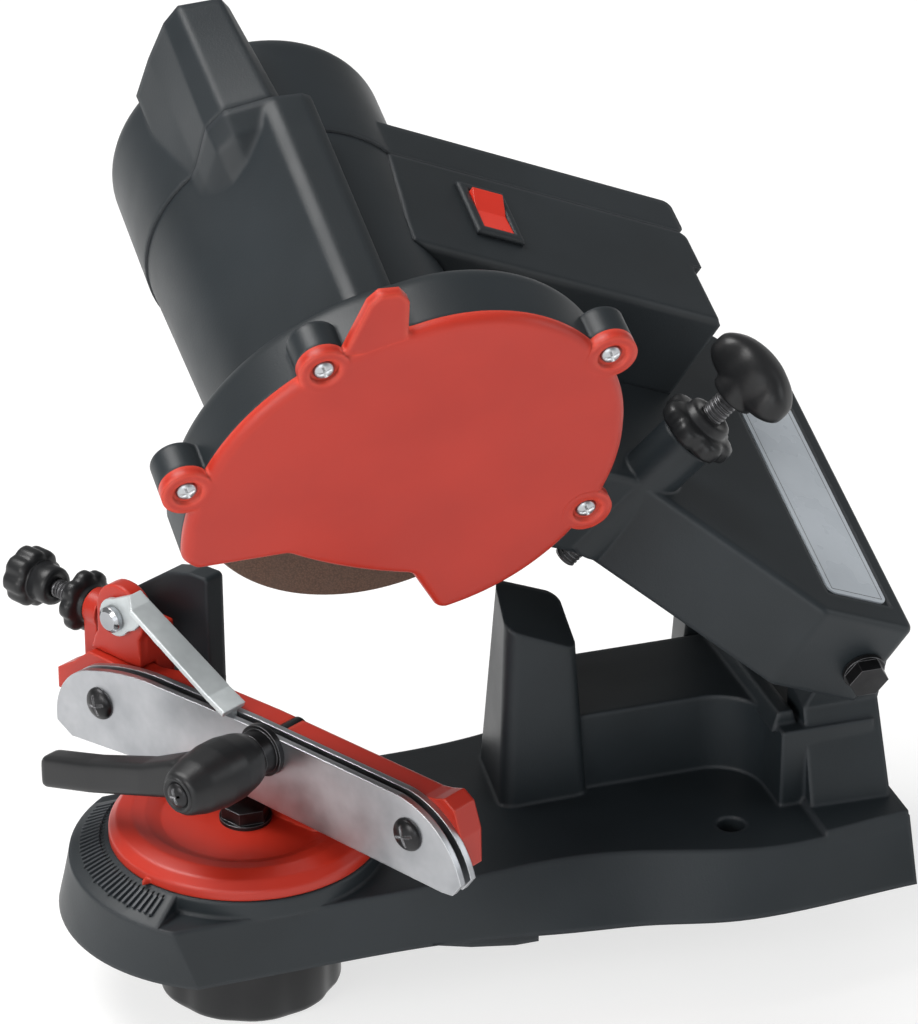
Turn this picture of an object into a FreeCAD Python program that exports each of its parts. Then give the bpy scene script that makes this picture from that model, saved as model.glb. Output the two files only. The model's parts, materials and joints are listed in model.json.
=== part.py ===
import FreeCAD, Part
import math
import os

V = FreeCAD.Vector

# Electric chainsaw sharpener. Millimetres, +Z up, +X the machine's right side, +Y from the
# operator's side back to the hinge. It is drawn about the turntable's axis and written about
# the middle of the two bench-screw holes, on the bench plane.
# The grinding head is drawn in its own frame: X along the wheel axis, Z up the tilted wheel.
# The arm is drawn in that frame turned down by RISE: X along the wheel axis, Y down the arm,
# Z out of its top. The vise is drawn square to the base and turned by TABLE_TURN.

# ---- attitude ----
TILT = 18.0            # lean of the wheel axis from level
RISE = 26.0            # slope of the arm when the head is up
TABLE_TURN = 30.0      # turntable position in the rest pose
HEAD_DROP = 15.2       # head travel down to the depth stop

# ---- running clearances ----
RUN = 0.05             # radial, shaft in hole
GAP = 0.3              # faces of parts that move past each other
SHELL_GAP = 0.2        # faces of shells that are screwed together

# ---- base ----
BASE_H = 20.0
WALL = 3.0
LOBE_FOOT_R = 54.3     # front lobe at the bench
LOBE_FOOT_X = -5.0
LOBE_FOOT_Y = -2.0
LOBE_TOP_R = 53.7
PLINTH_R = 42.0        # under the turntable
PLINTH_H = 25.7
SCALE_HALF = 45.0      # degrees each side of the front
STATION_Y = [20.0, 55.0, 90.0, 112.0, 135.0, 154.0, 175.0, 198.0]
LOBE_X = 43.0          # side walls where the lobe starts
LOBE_TOP_X = 41.2
NEAR_FOOT_X = [41.6, 42.5, 48.0, 51.0, 56.5, 57.5, 56.0, 54.0]
NEAR_TOP_X = [40.2, 38.8, 36.8, 40.0, 47.0, 50.5, 49.0, 46.0]
FAR_FOOT_X = [41.6, 42.5, 47.0, 54.0, 63.0, 66.0, 66.0, 62.0]
FAR_TOP_X = [40.2, 38.8, 42.0, 49.0, 58.0, 61.0, 61.0, 57.0]
HOOK_DROP = 4.6        # bench hook under the front
HOOK_Y0 = 46.0
HOOK_Y1 = 79.5
HOLE_NEAR_X = 34.0     # bench-screw holes
HOLE_FAR_X = -46.0
HOLE_Y = 144.0
HOLE_R = 4.5
HOLE_BOSS_R = 9.0
STUD_R = 5.0
STUD_BOSS_R = 12.0
TICK_COUNT = 33
TICK_STEP = 2.5        # degrees between the scale ticks
PAD_H = 21.6           # raised floor behind the well
PAD_Y = 169.0

# ---- deck and depth-stop tower ----
DECK_H = 46.0
DECK_FRONT_Y = 94.0
DECK_FAR_X = -37.5
DECK_BEND_Y = 146.0
DECK_BEND_R = 16.0
DECK_TAIL_X = 29.0
DECK_BACK_Y = 192.0
NEAR_POST_FOOT = [(12.0, 170.0), (36.0, 170.0), (37.0, 196.0), (12.0, 196.0)]
FAR_POST_FOOT = [(-58.0, 157.0), (-36.0, 151.0), (-36.0, 192.0), (-58.0, 192.0)]
FAR_POST_FRONT = 168.0
POST_BACK_Y = 194.2
POST_NECK = 57.0
TOWER_FOOT = [(4.5, 80.0), (3.5, 109.0), (-30.0, 110.0), (-31.0, 84.0)]
TOWER_HEAD = [(1.5, 82.5), (1.5, 103.5), (-20.0, 106.0), (-20.0, 86.0)]
TOWER_HEAD_H = 92.0
TOWER_ROUND = 4.0

# ---- hinge, in the arm frame ----
HINGE_U = 133.5
HINGE_M = 148.5
HINGE_R = 4.0
POST_R = 9.5
POST_T = 14.0
NEAR_FACE = 12.0       # outer near face of the arm
FAR_FACE = -98.0       # outer far face of the arm
FAR_SEAT = -110.0      # face of the boss under the hinge nut
NUT_SEAT_R = 7.3
SPRING_A = -52.0
SPRING_R = 5.4         # middle of the coil
SPRING_WIRE = 1.1
SPRING_PITCH = 3.0
SPRING_TURNS = 7
POST_GAP = 0.35

# ---- arm ----
ARM_TOP = 167.0
ARM_T = 31.5
ARM_END = 141.5
ARM_FLARE_U = 107.0
ARM_NECK_U = 53.0
ARM_HEAD_U = -8.0
ARM_SHELL = 3.0
LABEL_A = (-88.0, 3.0)
LABEL_U = (111.0, 136.0)
LABEL_DEEP = 0.8
LABEL_T = 0.6
BASE_COVER_U0 = 10.0   # the cover closes the arm between these
BASE_COVER_U1 = 102.0

# ---- switch box ----
BOX_H = 31.0           # switch box over the arm
BOX_TOP = ARM_TOP + BOX_H
BOX_NEAR = -77.0
BOX_FAR = -134.0
BOX_END_U = 86.0
BOX_STEP_A = -103.0    # the box end steps in here
BOX_STEP = 2.5
SEAM_A = -119.0        # seam between the front and rear shells
ROCKER_A = -100.5
BEZEL_L = 23.0
BEZEL_W = 17.0
ROCKER_L = 17.0
ROCKER_W = 11.0
ROCKER_TIP = 8.0       # rocker angle each side
PIVOT_R = 1.3          # pins the rocker turns on
PIVOT_OUT = 0.85

# ---- wheel and motor, in the head frame ----
WHEEL_A = -23.0
WHEEL_B = 33.0
WHEEL_C = 160.0
WHEEL_R = 54.0
WHEEL_T = 3.2
WHEEL_BORE_R = 11.1
GUARD_SEAM = -8.5
GUARD_BACK = -30.0
GUARD_FRONT = -5.0
GUARD_ROUND = 7.0      # rear edge
GUARD_WALL = 3.0
GUARD_CORNER = 4.0
WHEEL_ROOM = 3.0       # wheel edge to guard
LUG_R = 7.5
LUGS = [(-60.8, 15.5), (-24.0, 55.0), (61.0, 45.4), (60.9, -15.6)]
BARREL_R = 42.0        # at the seam
ROCKER_IN = 38.0       # rocker's middle, measured in from the barrel's radius
ROCKER_U = BARREL_R - ROCKER_IN
BARREL_FRONT_R = 38.6
BARREL_WALL = 3.0
BARREL_END = -167.0
RIB_B = -9.5
STATOR_SEAT_R = 35.4
SHAFT_R = 4.0
BEARING_R = 11.0
BEARING_W = 7.0
STATOR_A = (-58.0, -100.0)
AIR_GAP = 0.8
CORE_R = 21.5
FAN_A = -110.0
FAN_T = 7.0
FAN_R = 32.0

SHELL_SCREWS = [(33.5, 0.0), (-33.5, 0.0), (0.0, -33.5)]
GLAND_R = 6.0          # cord inlet on the switch box
GLAND_U = 58.0
GLAND_M = 180.0

# ---- depth stop, in the arm frame ----
ROD_A = -36.0
ROD_U = 52.0           # tip of the rod
ROD_DROP = 39.1        # rod tip under the arm's top
ROD_M = ARM_TOP - ROD_DROP
ROD_LEAN = 12.0
ROD_R = 3.75
ROD_LEN = 92.0
ROD_BOSS_R = 9.0
ROD_BOSS_TOP = 55.8
KNOB_AT = 84.0         # wing knob's middle, up the rod from its tip
STOP_GAP = 0.4

# ---- turntable and vise, in the vise frame ----
DISC_R = 41.5
DISC_H = 7.1
WASHER_R = 8.0
BOLT_HEAD_H = 5.3
PLATE_T = 2.0
SLOT = 2.5
PLATE_TOP = 65.2
BAR_T = 9.5
BAR_TOP = 63.8
BAR_LOW = 42.0
BAR_FLAT_S = (-70.0, -46.0)   # flat top under the pawl slide
BAR_FLAT_Z = 59.5
JAW_SCREW = [(-58.6, 48.4), (69.7, 53.7)]
CLAMP_S = 12.0
CLAMP_Z = 60.0
CLAMP_R = 4.0
HUB_Y = (-10.3, -40.0)
PIN_S = -58.5
PIN_Z = 75.5
PIN_R = 2.5
BOSS_R = 10.0
BOSS_Y = (6.0, 11.7)
SCREW_Y = 17.0
SCREW_Z = 66.5
SCREW_R = 3.0
LUG_S = (-80.5, -75.0)
KNOB_LOBES = 8
LOBE_DENT = 2.2
SLIDER_S = (-66.0, -50.0)
LOCK_KNOB_R = 28.3
LOCK_KNOB_H = 26.3

AXIS_X = V(1, 0, 0)
AXIS_Y = V(0, 1, 0)
AXIS_Z = V(0, 0, 1)
ORIGIN = V(0, 0, 0)


# ---- frames ----
def in_head(shape):
    moved = shape.copy()
    moved.rotate(ORIGIN, AXIS_Y, TILT)
    return moved


def in_arm(shape):
    moved = shape.copy()
    moved.rotate(ORIGIN, AXIS_X, -RISE)
    return in_head(moved)


def in_vise(shape):
    moved = shape.copy()
    moved.rotate(ORIGIN, AXIS_Z, TABLE_TURN)
    return moved


def arm_to_head(a, u, m):
    c = math.cos(math.radians(RISE))
    s = math.sin(math.radians(RISE))
    return V(a, u * c + m * s, m * c - u * s)


def head_to_world(p):
    c = math.cos(math.radians(TILT))
    s = math.sin(math.radians(TILT))
    return V(p.x * c + p.z * s, p.y, p.z * c - p.x * s)


def turn_x(p, centre, degrees):
    c = math.cos(math.radians(degrees))
    s = math.sin(math.radians(degrees))
    y = p.y - centre.y
    z = p.z - centre.z
    return V(p.x, centre.y + y * c - z * s, centre.z + y * s + z * c)


HINGE = arm_to_head(0.0, HINGE_U, HINGE_M)


# ---- shape helpers ----
def box(x0, x1, y0, y1, z0, z1):
    return Part.makeBox(abs(x1 - x0), abs(y1 - y0), abs(z1 - z0),
                        V(min(x0, x1), min(y0, y1), min(z0, z1)))


def rod(radius, start, end):
    axis = end - start
    return Part.makeCylinder(radius, axis.Length, start, axis)


def rod_x(radius, x0, x1, y, z):
    return rod(radius, V(x0, y, z), V(x1, y, z))


def ring_x(outer, inner, x0, x1, y, z):
    return rod_x(outer, x0, x1, y, z).cut(rod_x(inner, x0 - 1.0, x1 + 1.0, y, z)) \
        if x1 > x0 else rod_x(outer, x1, x0, y, z).cut(rod_x(inner, x1 - 1.0, x0 + 1.0, y, z))


def polygon(points):
    return Part.makePolygon(points + [points[0]])


def prism(points, direction):
    return Part.Face(polygon(points)).extrude(direction)


def slab_x(outline, x0, x1):
    points = [V(x0, y, z) for y, z in outline]
    return prism(points, V(x1 - x0, 0, 0))


def slab_y(outline, y0, y1):
    points = [V(x, y0, z) for x, z in outline]
    return prism(points, V(0, y1 - y0, 0))


def slab_z(outline, z0, z1):
    points = [V(x, y, z0) for x, y in outline]
    return prism(points, V(0, 0, z1 - z0))


def spun_z(profile, centre=ORIGIN):
    points = [V(r, 0, z) for r, z in profile]
    solid = Part.Face(polygon(points)).revolve(ORIGIN, AXIS_Z, 360)
    solid.translate(centre)
    return solid


def spun_x(profile, y, z):
    points = [V(x, r, 0) for x, r in profile]
    solid = Part.Face(polygon(points)).revolve(ORIGIN, AXIS_X, 360)
    solid.translate(V(0, y, z))
    return solid


def lofted(lower, upper):
    return Part.makeLoft([polygon(lower), polygon(upper)], True, True)


def rounded(shape, radius, wanted):
    edges = [e for e in shape.Edges if wanted(e)]
    return shape.makeFillet(radius, edges) if edges else shape


def runs_along(edge, axis):
    ends = [v.Point for v in edge.Vertexes]
    if len(ends) < 2:
        return False
    step = ends[1] - ends[0]
    return step.Length > 0.5 and abs(step.dot(axis)) > 0.995 * step.Length


def flat_at(edge, axis, level):
    box_of = edge.BoundBox
    low = V(box_of.XMin, box_of.YMin, box_of.ZMin).dot(axis)
    high = V(box_of.XMax, box_of.YMax, box_of.ZMax).dot(axis)
    return abs(low - level) < 0.01 and abs(high - level) < 0.01


def joined(shapes):
    result = shapes[0]
    for shape in shapes[1:]:
        result = result.fuse(shape)
    return result.removeSplitter()


def cut_all(shape, tools):
    for tool in tools:
        shape = shape.cut(tool)
    return shape


def lobed_y(radius, lobes, dent, y0, y1, x, z):
    body = Part.makeCylinder(radius, abs(y1 - y0), V(x, min(y0, y1), z), AXIS_Y)
    for index in range(lobes):
        angle = 2 * math.pi * index / lobes
        at = V(x + (radius + dent * 0.4) * math.cos(angle), min(y0, y1) - 1,
               z + (radius + dent * 0.4) * math.sin(angle))
        body = body.cut(Part.makeCylinder(dent, abs(y1 - y0) + 2, at, AXIS_Y))
    return body


# ---- base ----
def side_wire(near, far, z, inset, corner_x, centre, radius):
    reach = radius - inset
    near_x = corner_x - inset
    near_y = centre.y - math.sqrt(reach ** 2 - (near_x - centre.x) ** 2)
    far_y = centre.y - math.sqrt(reach ** 2 - (near_x + centre.x) ** 2)
    near_points = [V(near_x, near_y, z)]
    far_points = [V(-near_x, far_y, z)]
    near_points += [V(x - inset, y, z) for x, y in zip(near, STATION_Y)]
    far_points += [V(inset - x, y, z) for x, y in zip(far, STATION_Y)]
    near_points[-1].y -= inset
    far_points[-1].y -= inset
    near_edge = Part.BSplineCurve()
    near_edge.interpolate(near_points)
    far_edge = Part.BSplineCurve()
    far_edge.interpolate(far_points[::-1])
    back = Part.LineSegment(near_points[-1], far_points[-1])
    front = Part.Arc(far_points[0], V(centre.x, centre.y - reach, z), near_points[0])
    return Part.Wire([near_edge.toShape(), back.toShape(), far_edge.toShape(), front.toShape()])


def plan_body(inset, low, high):
    foot_at = V(LOBE_FOOT_X, LOBE_FOOT_Y, 0)
    foot = side_wire(NEAR_FOOT_X, FAR_FOOT_X, low, inset, LOBE_X, foot_at, LOBE_FOOT_R)
    top = side_wire(NEAR_TOP_X, FAR_TOP_X, high, inset, LOBE_TOP_X, ORIGIN, LOBE_TOP_R)
    return Part.makeLoft([foot, top], True, True)


def plinth():
    start = BASE_H - 0.6
    return Part.makeCylinder(PLINTH_R, PLINTH_H - start, V(0, 0, start), AXIS_Z)


def scale_band():
    # raised sector round the front that carries the scale
    edge = LOBE_TOP_R - 0.15
    cone = spun_z([(0, BASE_H - 1.0), (edge, BASE_H - 1.0), (edge, BASE_H),
                   (PLINTH_R - 0.6, PLINTH_H), (0, PLINTH_H)])
    reach = 80.0
    span = math.radians(SCALE_HALF)
    wedge = slab_z([(0, 0), (reach * math.sin(span), -reach * math.cos(span)), (0, -2 * reach),
                    (-reach * math.sin(span), -reach * math.cos(span))], 0.0, 60.0)
    return cone.common(wedge)


def deck_outline(inset):
    start = V(-inset, DECK_FRONT_Y + inset, 0)
    bend = V(-inset, DECK_BEND_Y + inset, 0)
    quarter = math.sqrt(0.5)
    mid = V(DECK_BEND_R * (1 - quarter) - inset, DECK_BEND_Y + DECK_BEND_R * quarter + inset, 0)
    tail = V(DECK_BEND_R - inset, DECK_BEND_Y + DECK_BEND_R + inset, 0)
    corner = V(DECK_TAIL_X - inset, DECK_BEND_Y + DECK_BEND_R + inset, 0)
    back = V(DECK_TAIL_X - inset, DECK_BACK_Y - inset, 0)
    far_back = V(DECK_FAR_X + inset, DECK_BACK_Y - inset, 0)
    far_front = V(DECK_FAR_X + inset, DECK_FRONT_Y + inset + 6.0, 0)
    edges = [Part.LineSegment(start, bend).toShape(),
             Part.Arc(bend, mid, tail).toShape(),
             Part.LineSegment(tail, corner).toShape(),
             Part.LineSegment(corner, back).toShape(),
             Part.LineSegment(back, far_back).toShape(),
             Part.LineSegment(far_back, far_front).toShape(),
             Part.LineSegment(far_front, start).toShape()]
    return Part.Face(Part.Wire(edges))


def deck(inset, low, high):
    face = deck_outline(inset)
    face.translate(V(0, 0, low))
    return face.extrude(V(0, 0, high - low))


def rod_axis():
    lean = math.radians(ROD_LEAN)
    low = arm_to_head(ROD_A, ROD_U, ROD_M)
    far = arm_to_head(ROD_A, ROD_U + math.sin(lean), ROD_M + math.cos(lean))
    return low, far - low


def stop_plane():
    # where the rod's tip ends when the head is down
    tip, along = rod_axis()
    low = turn_x(tip, HINGE, HEAD_DROP)
    direction = turn_x(tip + along, HINGE, HEAD_DROP) - low
    return low - direction * STOP_GAP, direction


def tower(inset, cap):
    foot = []
    head = []
    mid_x = sum(x for x, y in TOWER_FOOT) / 4.0
    mid_y = sum(y for x, y in TOWER_FOOT) / 4.0
    for (fx, fy), (hx, hy) in zip(TOWER_FOOT, TOWER_HEAD):
        sx = inset if fx < mid_x else -inset
        sy = inset if fy < mid_y else -inset
        foot.append(V(fx + sx, fy + sy, BASE_H - WALL))
        head.append(V(hx + sx, hy + sy, TOWER_HEAD_H))
    body = rounded(lofted(foot, head), TOWER_ROUND - inset, lambda e: e.BoundBox.ZLength > 50)
    at, normal = stop_plane()
    place = head_to_world(at - normal * cap)
    way = head_to_world(normal)
    half = Part.makeCylinder(60.0, 60.0, place, way)
    return body.cut(half)


def post_slab(a0, a1, front, back, low):
    outline = [(front, low), (back, low), (HINGE.y + POST_R, HINGE.z), (HINGE.y - POST_R, HINGE.z)]
    slab = slab_x(outline, a0, a1)
    return slab.fuse(rod_x(POST_R, a0, a1, HINGE.y, HINGE.z))


def hinge_post(foot, a0, a1, front, back, neck):
    quad = [V(a0, front, neck), V(a1, front, neck), V(a1, back, neck), V(a0, back, neck)]
    top = [head_to_world(p) for p in quad]
    body = lofted([V(x, y, BASE_H - WALL) for x, y in foot], top)
    return body.fuse(in_head(post_slab(a0, a1, front, back, neck - 0.5)))


def near_post():
    a1 = NEAR_FACE - ARM_SHELL - POST_GAP
    a0 = a1 - POST_T
    return hinge_post(NEAR_POST_FOOT, a0, a1, NEAR_POST_FOOT[0][1], POST_BACK_Y, POST_NECK)


def far_post():
    a0 = FAR_FACE + ARM_SHELL + POST_GAP
    a1 = a0 + POST_T
    return hinge_post(FAR_POST_FOOT, a0, a1, FAR_POST_FRONT, POST_BACK_Y, POST_NECK)


def cross_wall():
    # stands on the deck between the two hinge posts
    outline = [(160.5, DECK_H - 2.0), (162.5, DECK_H + 4.5), (167.0, DECK_H + 4.5),
               (169.0, DECK_H - 2.0)]
    return slab_x(outline, -40.0, 24.0)


def hook():
    half = NEAR_FOOT_X[1] - 0.5
    profile = [(HOOK_Y0, 0.5), (58.0, -2.5), (72.0, -HOOK_DROP), (HOOK_Y1, -HOOK_DROP),
               (HOOK_Y1, BASE_H - WALL), (HOOK_Y1 - WALL, BASE_H - WALL), (HOOK_Y1 - WALL, 0.5)]
    outer = slab_x(profile, -half, half)
    inner = box(WALL - half, half - WALL, HOOK_Y0 - 1, HOOK_Y1 - WALL, -HOOK_DROP - 1, 1.0)
    below = outer.common(box(-half, half, HOOK_Y0 - 1, HOOK_Y1 + 1, -HOOK_DROP - 1, 0.5))
    above = outer.common(plan_body(WALL / 2, 0.0, BASE_H))
    return below.fuse(above).cut(inner)


def scale_ticks():
    cuts = []
    slope = math.degrees(math.atan2(PLINTH_H - BASE_H, LOBE_TOP_R - PLINTH_R + 1.0))
    first = -90.0 - TICK_STEP * (TICK_COUNT - 1) / 2.0
    for index in range(TICK_COUNT):
        reach = 8.5 if (index - TICK_COUNT // 2) % 4 == 0 else 6.0
        groove = box(0.0, reach, -0.35, 0.35, -0.4, 2.0)
        groove.rotate(ORIGIN, AXIS_Y, slope)
        groove.translate(V(PLINTH_R + 0.8, 0, PLINTH_H - 0.9))
        groove.rotate(ORIGIN, AXIS_Z, first + TICK_STEP * index)
        cuts.append(groove)
    return cuts


def rear_pad():
    edge = 0.4
    slope = box(-62.0, 52.0, PAD_Y, STATION_Y[-1] - edge, BASE_H - WALL, PAD_H)
    return slope.common(plan_body(edge, 0.0, PAD_H))


def holes_at():
    return ((HOLE_NEAR_X, HOLE_Y), (HOLE_FAR_X, HOLE_Y))


def base_casting():
    outer = joined([plan_body(0.0, 0.0, BASE_H), plinth(), scale_band(),
                    deck(0.0, BASE_H - WALL, DECK_H), tower(0.0, 0.0), rear_pad()])
    hollow = plan_body(WALL, -1.0, BASE_H - WALL)
    hollow = hollow.fuse(deck(WALL, BASE_H - WALL - 0.5, DECK_H - WALL))
    hollow = hollow.fuse(tower(WALL, WALL))
    shell = outer.cut(hollow)
    extra = [Part.makeCylinder(STUD_BOSS_R, BASE_H - 1.0, ORIGIN, AXIS_Z), hook()]
    for x, y in holes_at():
        extra.append(Part.makeCylinder(HOLE_BOSS_R, BASE_H - 1.0, V(x, y, 0), AXIS_Z))
    inside = plan_body(WALL / 2, 0.0, BASE_H)
    for rib_y in (30.0, 115.0, 168.0):
        rib = box(-70.0, 70.0, rib_y - 1.25, rib_y + 1.25, 2.0, BASE_H - WALL + 0.5)
        extra.append(rib.common(inside))
    shell = joined([shell] + extra + [cross_wall(), near_post(), far_post()])
    cuts = [Part.makeCylinder(STUD_R + RUN, PLINTH_H + 4, V(0, 0, -2), AXIS_Z)]
    for x, y in holes_at():
        cuts.append(Part.makeCylinder(HOLE_R, DECK_H, V(x, y, -1), AXIS_Z))
    cuts.append(in_head(rod_x(HINGE_R + RUN, FAR_FACE, NEAR_FACE, HINGE.y, HINGE.z)))
    return cut_all(shell, cuts + scale_ticks())


def hinge_bolt():
    head_at = NEAR_FACE + GAP
    shank = rod_x(HINGE_R, FAR_SEAT - 10.0, head_at + 1.0, HINGE.y, HINGE.z)
    washer = rod_x(6.6, head_at, head_at + 1.4, HINGE.y, HINGE.z)
    head = hex_x(5.5, head_at + 1.4, head_at + 5.5, HINGE.y, HINGE.z)
    return in_head(joined([shank, washer, head]))


def hex_x(flat_half, x0, x1, y, z):
    corner = flat_half / math.cos(math.pi / 6)
    outline = [(y + corner * math.cos(math.pi * k / 3), z + corner * math.sin(math.pi * k / 3))
               for k in range(6)]
    return slab_x(outline, x0, x1)


def hinge_nut():
    start = FAR_SEAT - GAP
    washer = ring_x(NUT_SEAT_R - 0.3, HINGE_R + RUN, start - 1.6, start, HINGE.y, HINGE.z)
    nut = hex_x(6.0, start - 8.0, start - 1.6, HINGE.y, HINGE.z)
    nut = nut.cut(rod_x(HINGE_R + RUN, start - 9.0, start, HINGE.y, HINGE.z))
    return in_head(washer.fuse(nut).removeSplitter())


def return_spring():
    helix = Part.makeHelix(SPRING_PITCH, SPRING_PITCH * SPRING_TURNS, SPRING_R)
    section = Part.Wire([Part.makeCircle(SPRING_WIRE, V(SPRING_R, 0, 0), AXIS_Y)])
    coil = Part.Wire(helix).makePipeShell([section], True, True)
    coil.rotate(ORIGIN, AXIS_Y, 90)
    coil.translate(V(SPRING_A, HINGE.y, HINGE.z))
    return in_head(coil)


# ---- turntable and vise ----
def disc_seat():
    return PLINTH_H + GAP


def turntable_disc():
    low = disc_seat()
    top = low + DISC_H
    disc = spun_z([(0, low), (DISC_R, low), (DISC_R, low + 3.0), (DISC_R - 2.5, low + 5.6),
                   (DISC_R - 7.0, top), (DISC_R - 11.0, top - 0.4), (DISC_R - 16.0, top - 2.6),
                   (WASHER_R + 2.5, top - 3.4), (0, top - 3.4)])
    disc = rounded(disc, 1.6, lambda e: e.BoundBox.ZMin > low + 2.0 and e.BoundBox.ZMax < top + 0.1)
    stem = box(-16.0, 24.0, 7.0, 22.0, top - 4.5, BAR_LOW)
    stem = rounded(stem, 4.0, lambda e: runs_along(e, AXIS_Z))
    pointer = slab_z([(DISC_R - 3, -2.5), (DISC_R + 2.5, 0.0), (DISC_R - 3, 2.5)], low, low + 1.5)
    pointer.rotate(ORIGIN, AXIS_Z, -90.0)
    relief = Part.makeCylinder(WASHER_R + GAP, BOLT_HEAD_H + 1.5, V(0, 0, top - 3.4), AXIS_Z)
    bore = Part.makeCylinder(STUD_R + RUN, 60, V(0, 0, 0), AXIS_Z)
    return in_vise(cut_all(joined([disc, stem, pointer]), [relief, bore]))


def turntable_bolt():
    seat = disc_seat() + DISC_H - 3.4
    corner = 6.5 / math.cos(math.pi / 6)
    outline = [(corner * math.cos(math.pi * k / 3), corner * math.sin(math.pi * k / 3))
               for k in range(6)]
    head = slab_z(outline, seat, seat + BOLT_HEAD_H)
    washer = Part.makeCylinder(WASHER_R, 1.2, V(0, 0, seat), AXIS_Z)
    shank = Part.makeCylinder(STUD_R, seat + 21.0, V(0, 0, -20.5), AXIS_Z)
    return in_vise(joined([head, washer, shank]))


def lock_knob():
    top = -GAP
    low = top - LOCK_KNOB_H
    body = spun_z([(0, low), (LOCK_KNOB_R - 2.5, low), (LOCK_KNOB_R, low + 3.0),
                   (LOCK_KNOB_R, top - 5.0), (LOCK_KNOB_R - 6.0, top - 2.0), (15.0, top - 2.0),
                   (15.0, top), (0, top)])
    grips = []
    for index in range(12):
        angle = 2 * math.pi * index / 12
        at = V((LOCK_KNOB_R + 2.0) * math.cos(angle), (LOCK_KNOB_R + 2.0) * math.sin(angle), low - 1)
        grips.append(Part.makeCylinder(4.0, LOCK_KNOB_H - 4.0, at, AXIS_Z))
    body = cut_all(body, grips)
    return body.cut(Part.makeCylinder(STUD_R + RUN, 24.0, V(0, 0, -21.0), AXIS_Z))


def plate_outline():
    top = PLATE_TOP
    nose = Part.Arc(V(-78.3, 0, 35.2), V(-75.8, 0, 47.8), V(-63, 0, 58.2)).toShape()
    brow = Part.Arc(V(-63, 0, 58.2), V(-49, 0, 62.2), V(-33, 0, 63.8)).toShape()
    tail = Part.Arc(V(66, 0, top), V(80.3, 0, 59.5), V(90.3, 0, 44.4)).toShape()
    over = [V(-33, 0, 63.8), V(4, 0, top), V(66, 0, top)]
    under = [V(90.3, 0, 44.4), V(87.0, 0, 39.8), V(82.8, 0, 39.3), V(4, 0, 40.3), V(-53, 0, 33.8),
             V(-72, 0, 31.8), V(-78.3, 0, 35.2)]
    sides = [Part.LineSegment(p, q).toShape() for p, q in zip(over, over[1:])]
    sides.append(tail)
    sides += [Part.LineSegment(p, q).toShape() for p, q in zip(under, under[1:])]
    return Part.Face(Part.Wire([nose, brow] + sides))


def jaw_plate(y0, y1):
    face = plate_outline()
    face.translate(V(0, y0, 0))
    plate = face.extrude(V(0, y1 - y0, 0))
    holes = [Part.makeCylinder(2.6, 8.0, V(s, y0 - 2, z), AXIS_Y) for s, z in JAW_SCREW]
    holes.append(Part.makeCylinder(CLAMP_R + RUN, 8.0, V(CLAMP_S, y0 - 2, CLAMP_Z), AXIS_Y))
    return in_vise(cut_all(plate, holes))


def front_jaw_plate():
    return jaw_plate(-SLOT / 2 - PLATE_T, -SLOT / 2)


def rear_jaw_plate():
    return jaw_plate(SLOT / 2, SLOT / 2 + PLATE_T)


def bar_back():
    return SLOT / 2 + PLATE_T + BAR_T


def bar_outline():
    flat0, flat1 = BAR_FLAT_S
    return [(-84, 42), (-84, 49), (-77, 53.5), (flat0, BAR_FLAT_Z), (flat1, BAR_FLAT_Z),
            (-33, 62.5), (4, BAR_TOP), (70, BAR_TOP), (74, 64.6), (78, 66), (82, 63.5),
            (84.8, 55), (85, 44), (82, 41.5), (30, 41.5), (24, BAR_LOW), (-16, BAR_LOW), (-40, 39)]


def vise_bar():
    front = SLOT / 2 + PLATE_T
    back = bar_back()
    bar = slab_y(bar_outline(), front, back)
    bar = rounded(bar, 1.5, lambda e: e.BoundBox.YMin > back - 0.1 and e.BoundBox.ZMax > 50)
    foot = box(-16.0, 24.0, 7.0, 22.0, BAR_LOW, BAR_LOW + 6.0)
    lug = box(LUG_S[0], LUG_S[1], back - 1.0, SCREW_Y + 6.0, BAR_LOW + 2.0, SCREW_Z)
    lug = lug.fuse(Part.makeCylinder(6.0, LUG_S[1] - LUG_S[0], V(LUG_S[0], SCREW_Y, SCREW_Z), AXIS_X))
    whole = joined([bar, foot, lug])
    cuts = [Part.makeCylinder(SCREW_R + RUN, 20.0, V(LUG_S[0] - 5, SCREW_Y, SCREW_Z), AXIS_X),
            Part.makeCylinder(CLAMP_R + RUN, 40.0, V(CLAMP_S, -5, CLAMP_Z), AXIS_Y)]
    for s, z in JAW_SCREW:
        cuts.append(Part.makeCylinder(2.05, 9.0, V(s, front - 1, z), AXIS_Y))
    return in_vise(cut_all(whole, cuts))


def jaw_screws():
    front = -SLOT / 2 - PLATE_T
    screws = []
    for s, z in JAW_SCREW:
        head = spun_screw(5.4, 2.8, 2.0, SLOT + 2 * PLATE_T + 7.0)
        head.rotate(ORIGIN, AXIS_X, 90)
        head.translate(V(s, front, z))
        screws.append(head)
    return in_vise(Part.makeCompound(screws))


def spun_screw(head_r, head_h, shank_r, length):
    head = spun_z([(0, -length), (shank_r, -length), (shank_r, 0), (head_r, 0),
                   (head_r * 0.92, head_h * 0.6), (head_r * 0.5, head_h), (0, head_h)])
    arm_l = head_r * 0.55
    arm_w = head_r * 0.13
    for turn in (0, 90):
        slot = box(-arm_l, arm_l, -arm_w, arm_w, head_h - 1.4, head_h + 1.0)
        slot.rotate(ORIGIN, AXIS_Z, turn)
        head = head.cut(slot)
    return head


def jaw_spacers():
    half = SLOT / 2 - 0.05
    rings = []
    for s, z in JAW_SCREW:
        ring = Part.makeCylinder(5.5, 2 * half, V(s, -half, z), AXIS_Y)
        rings.append(ring.cut(Part.makeCylinder(2.1, 4.0, V(s, -2, z), AXIS_Y)))
    return in_vise(Part.makeCompound(rings))


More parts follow.
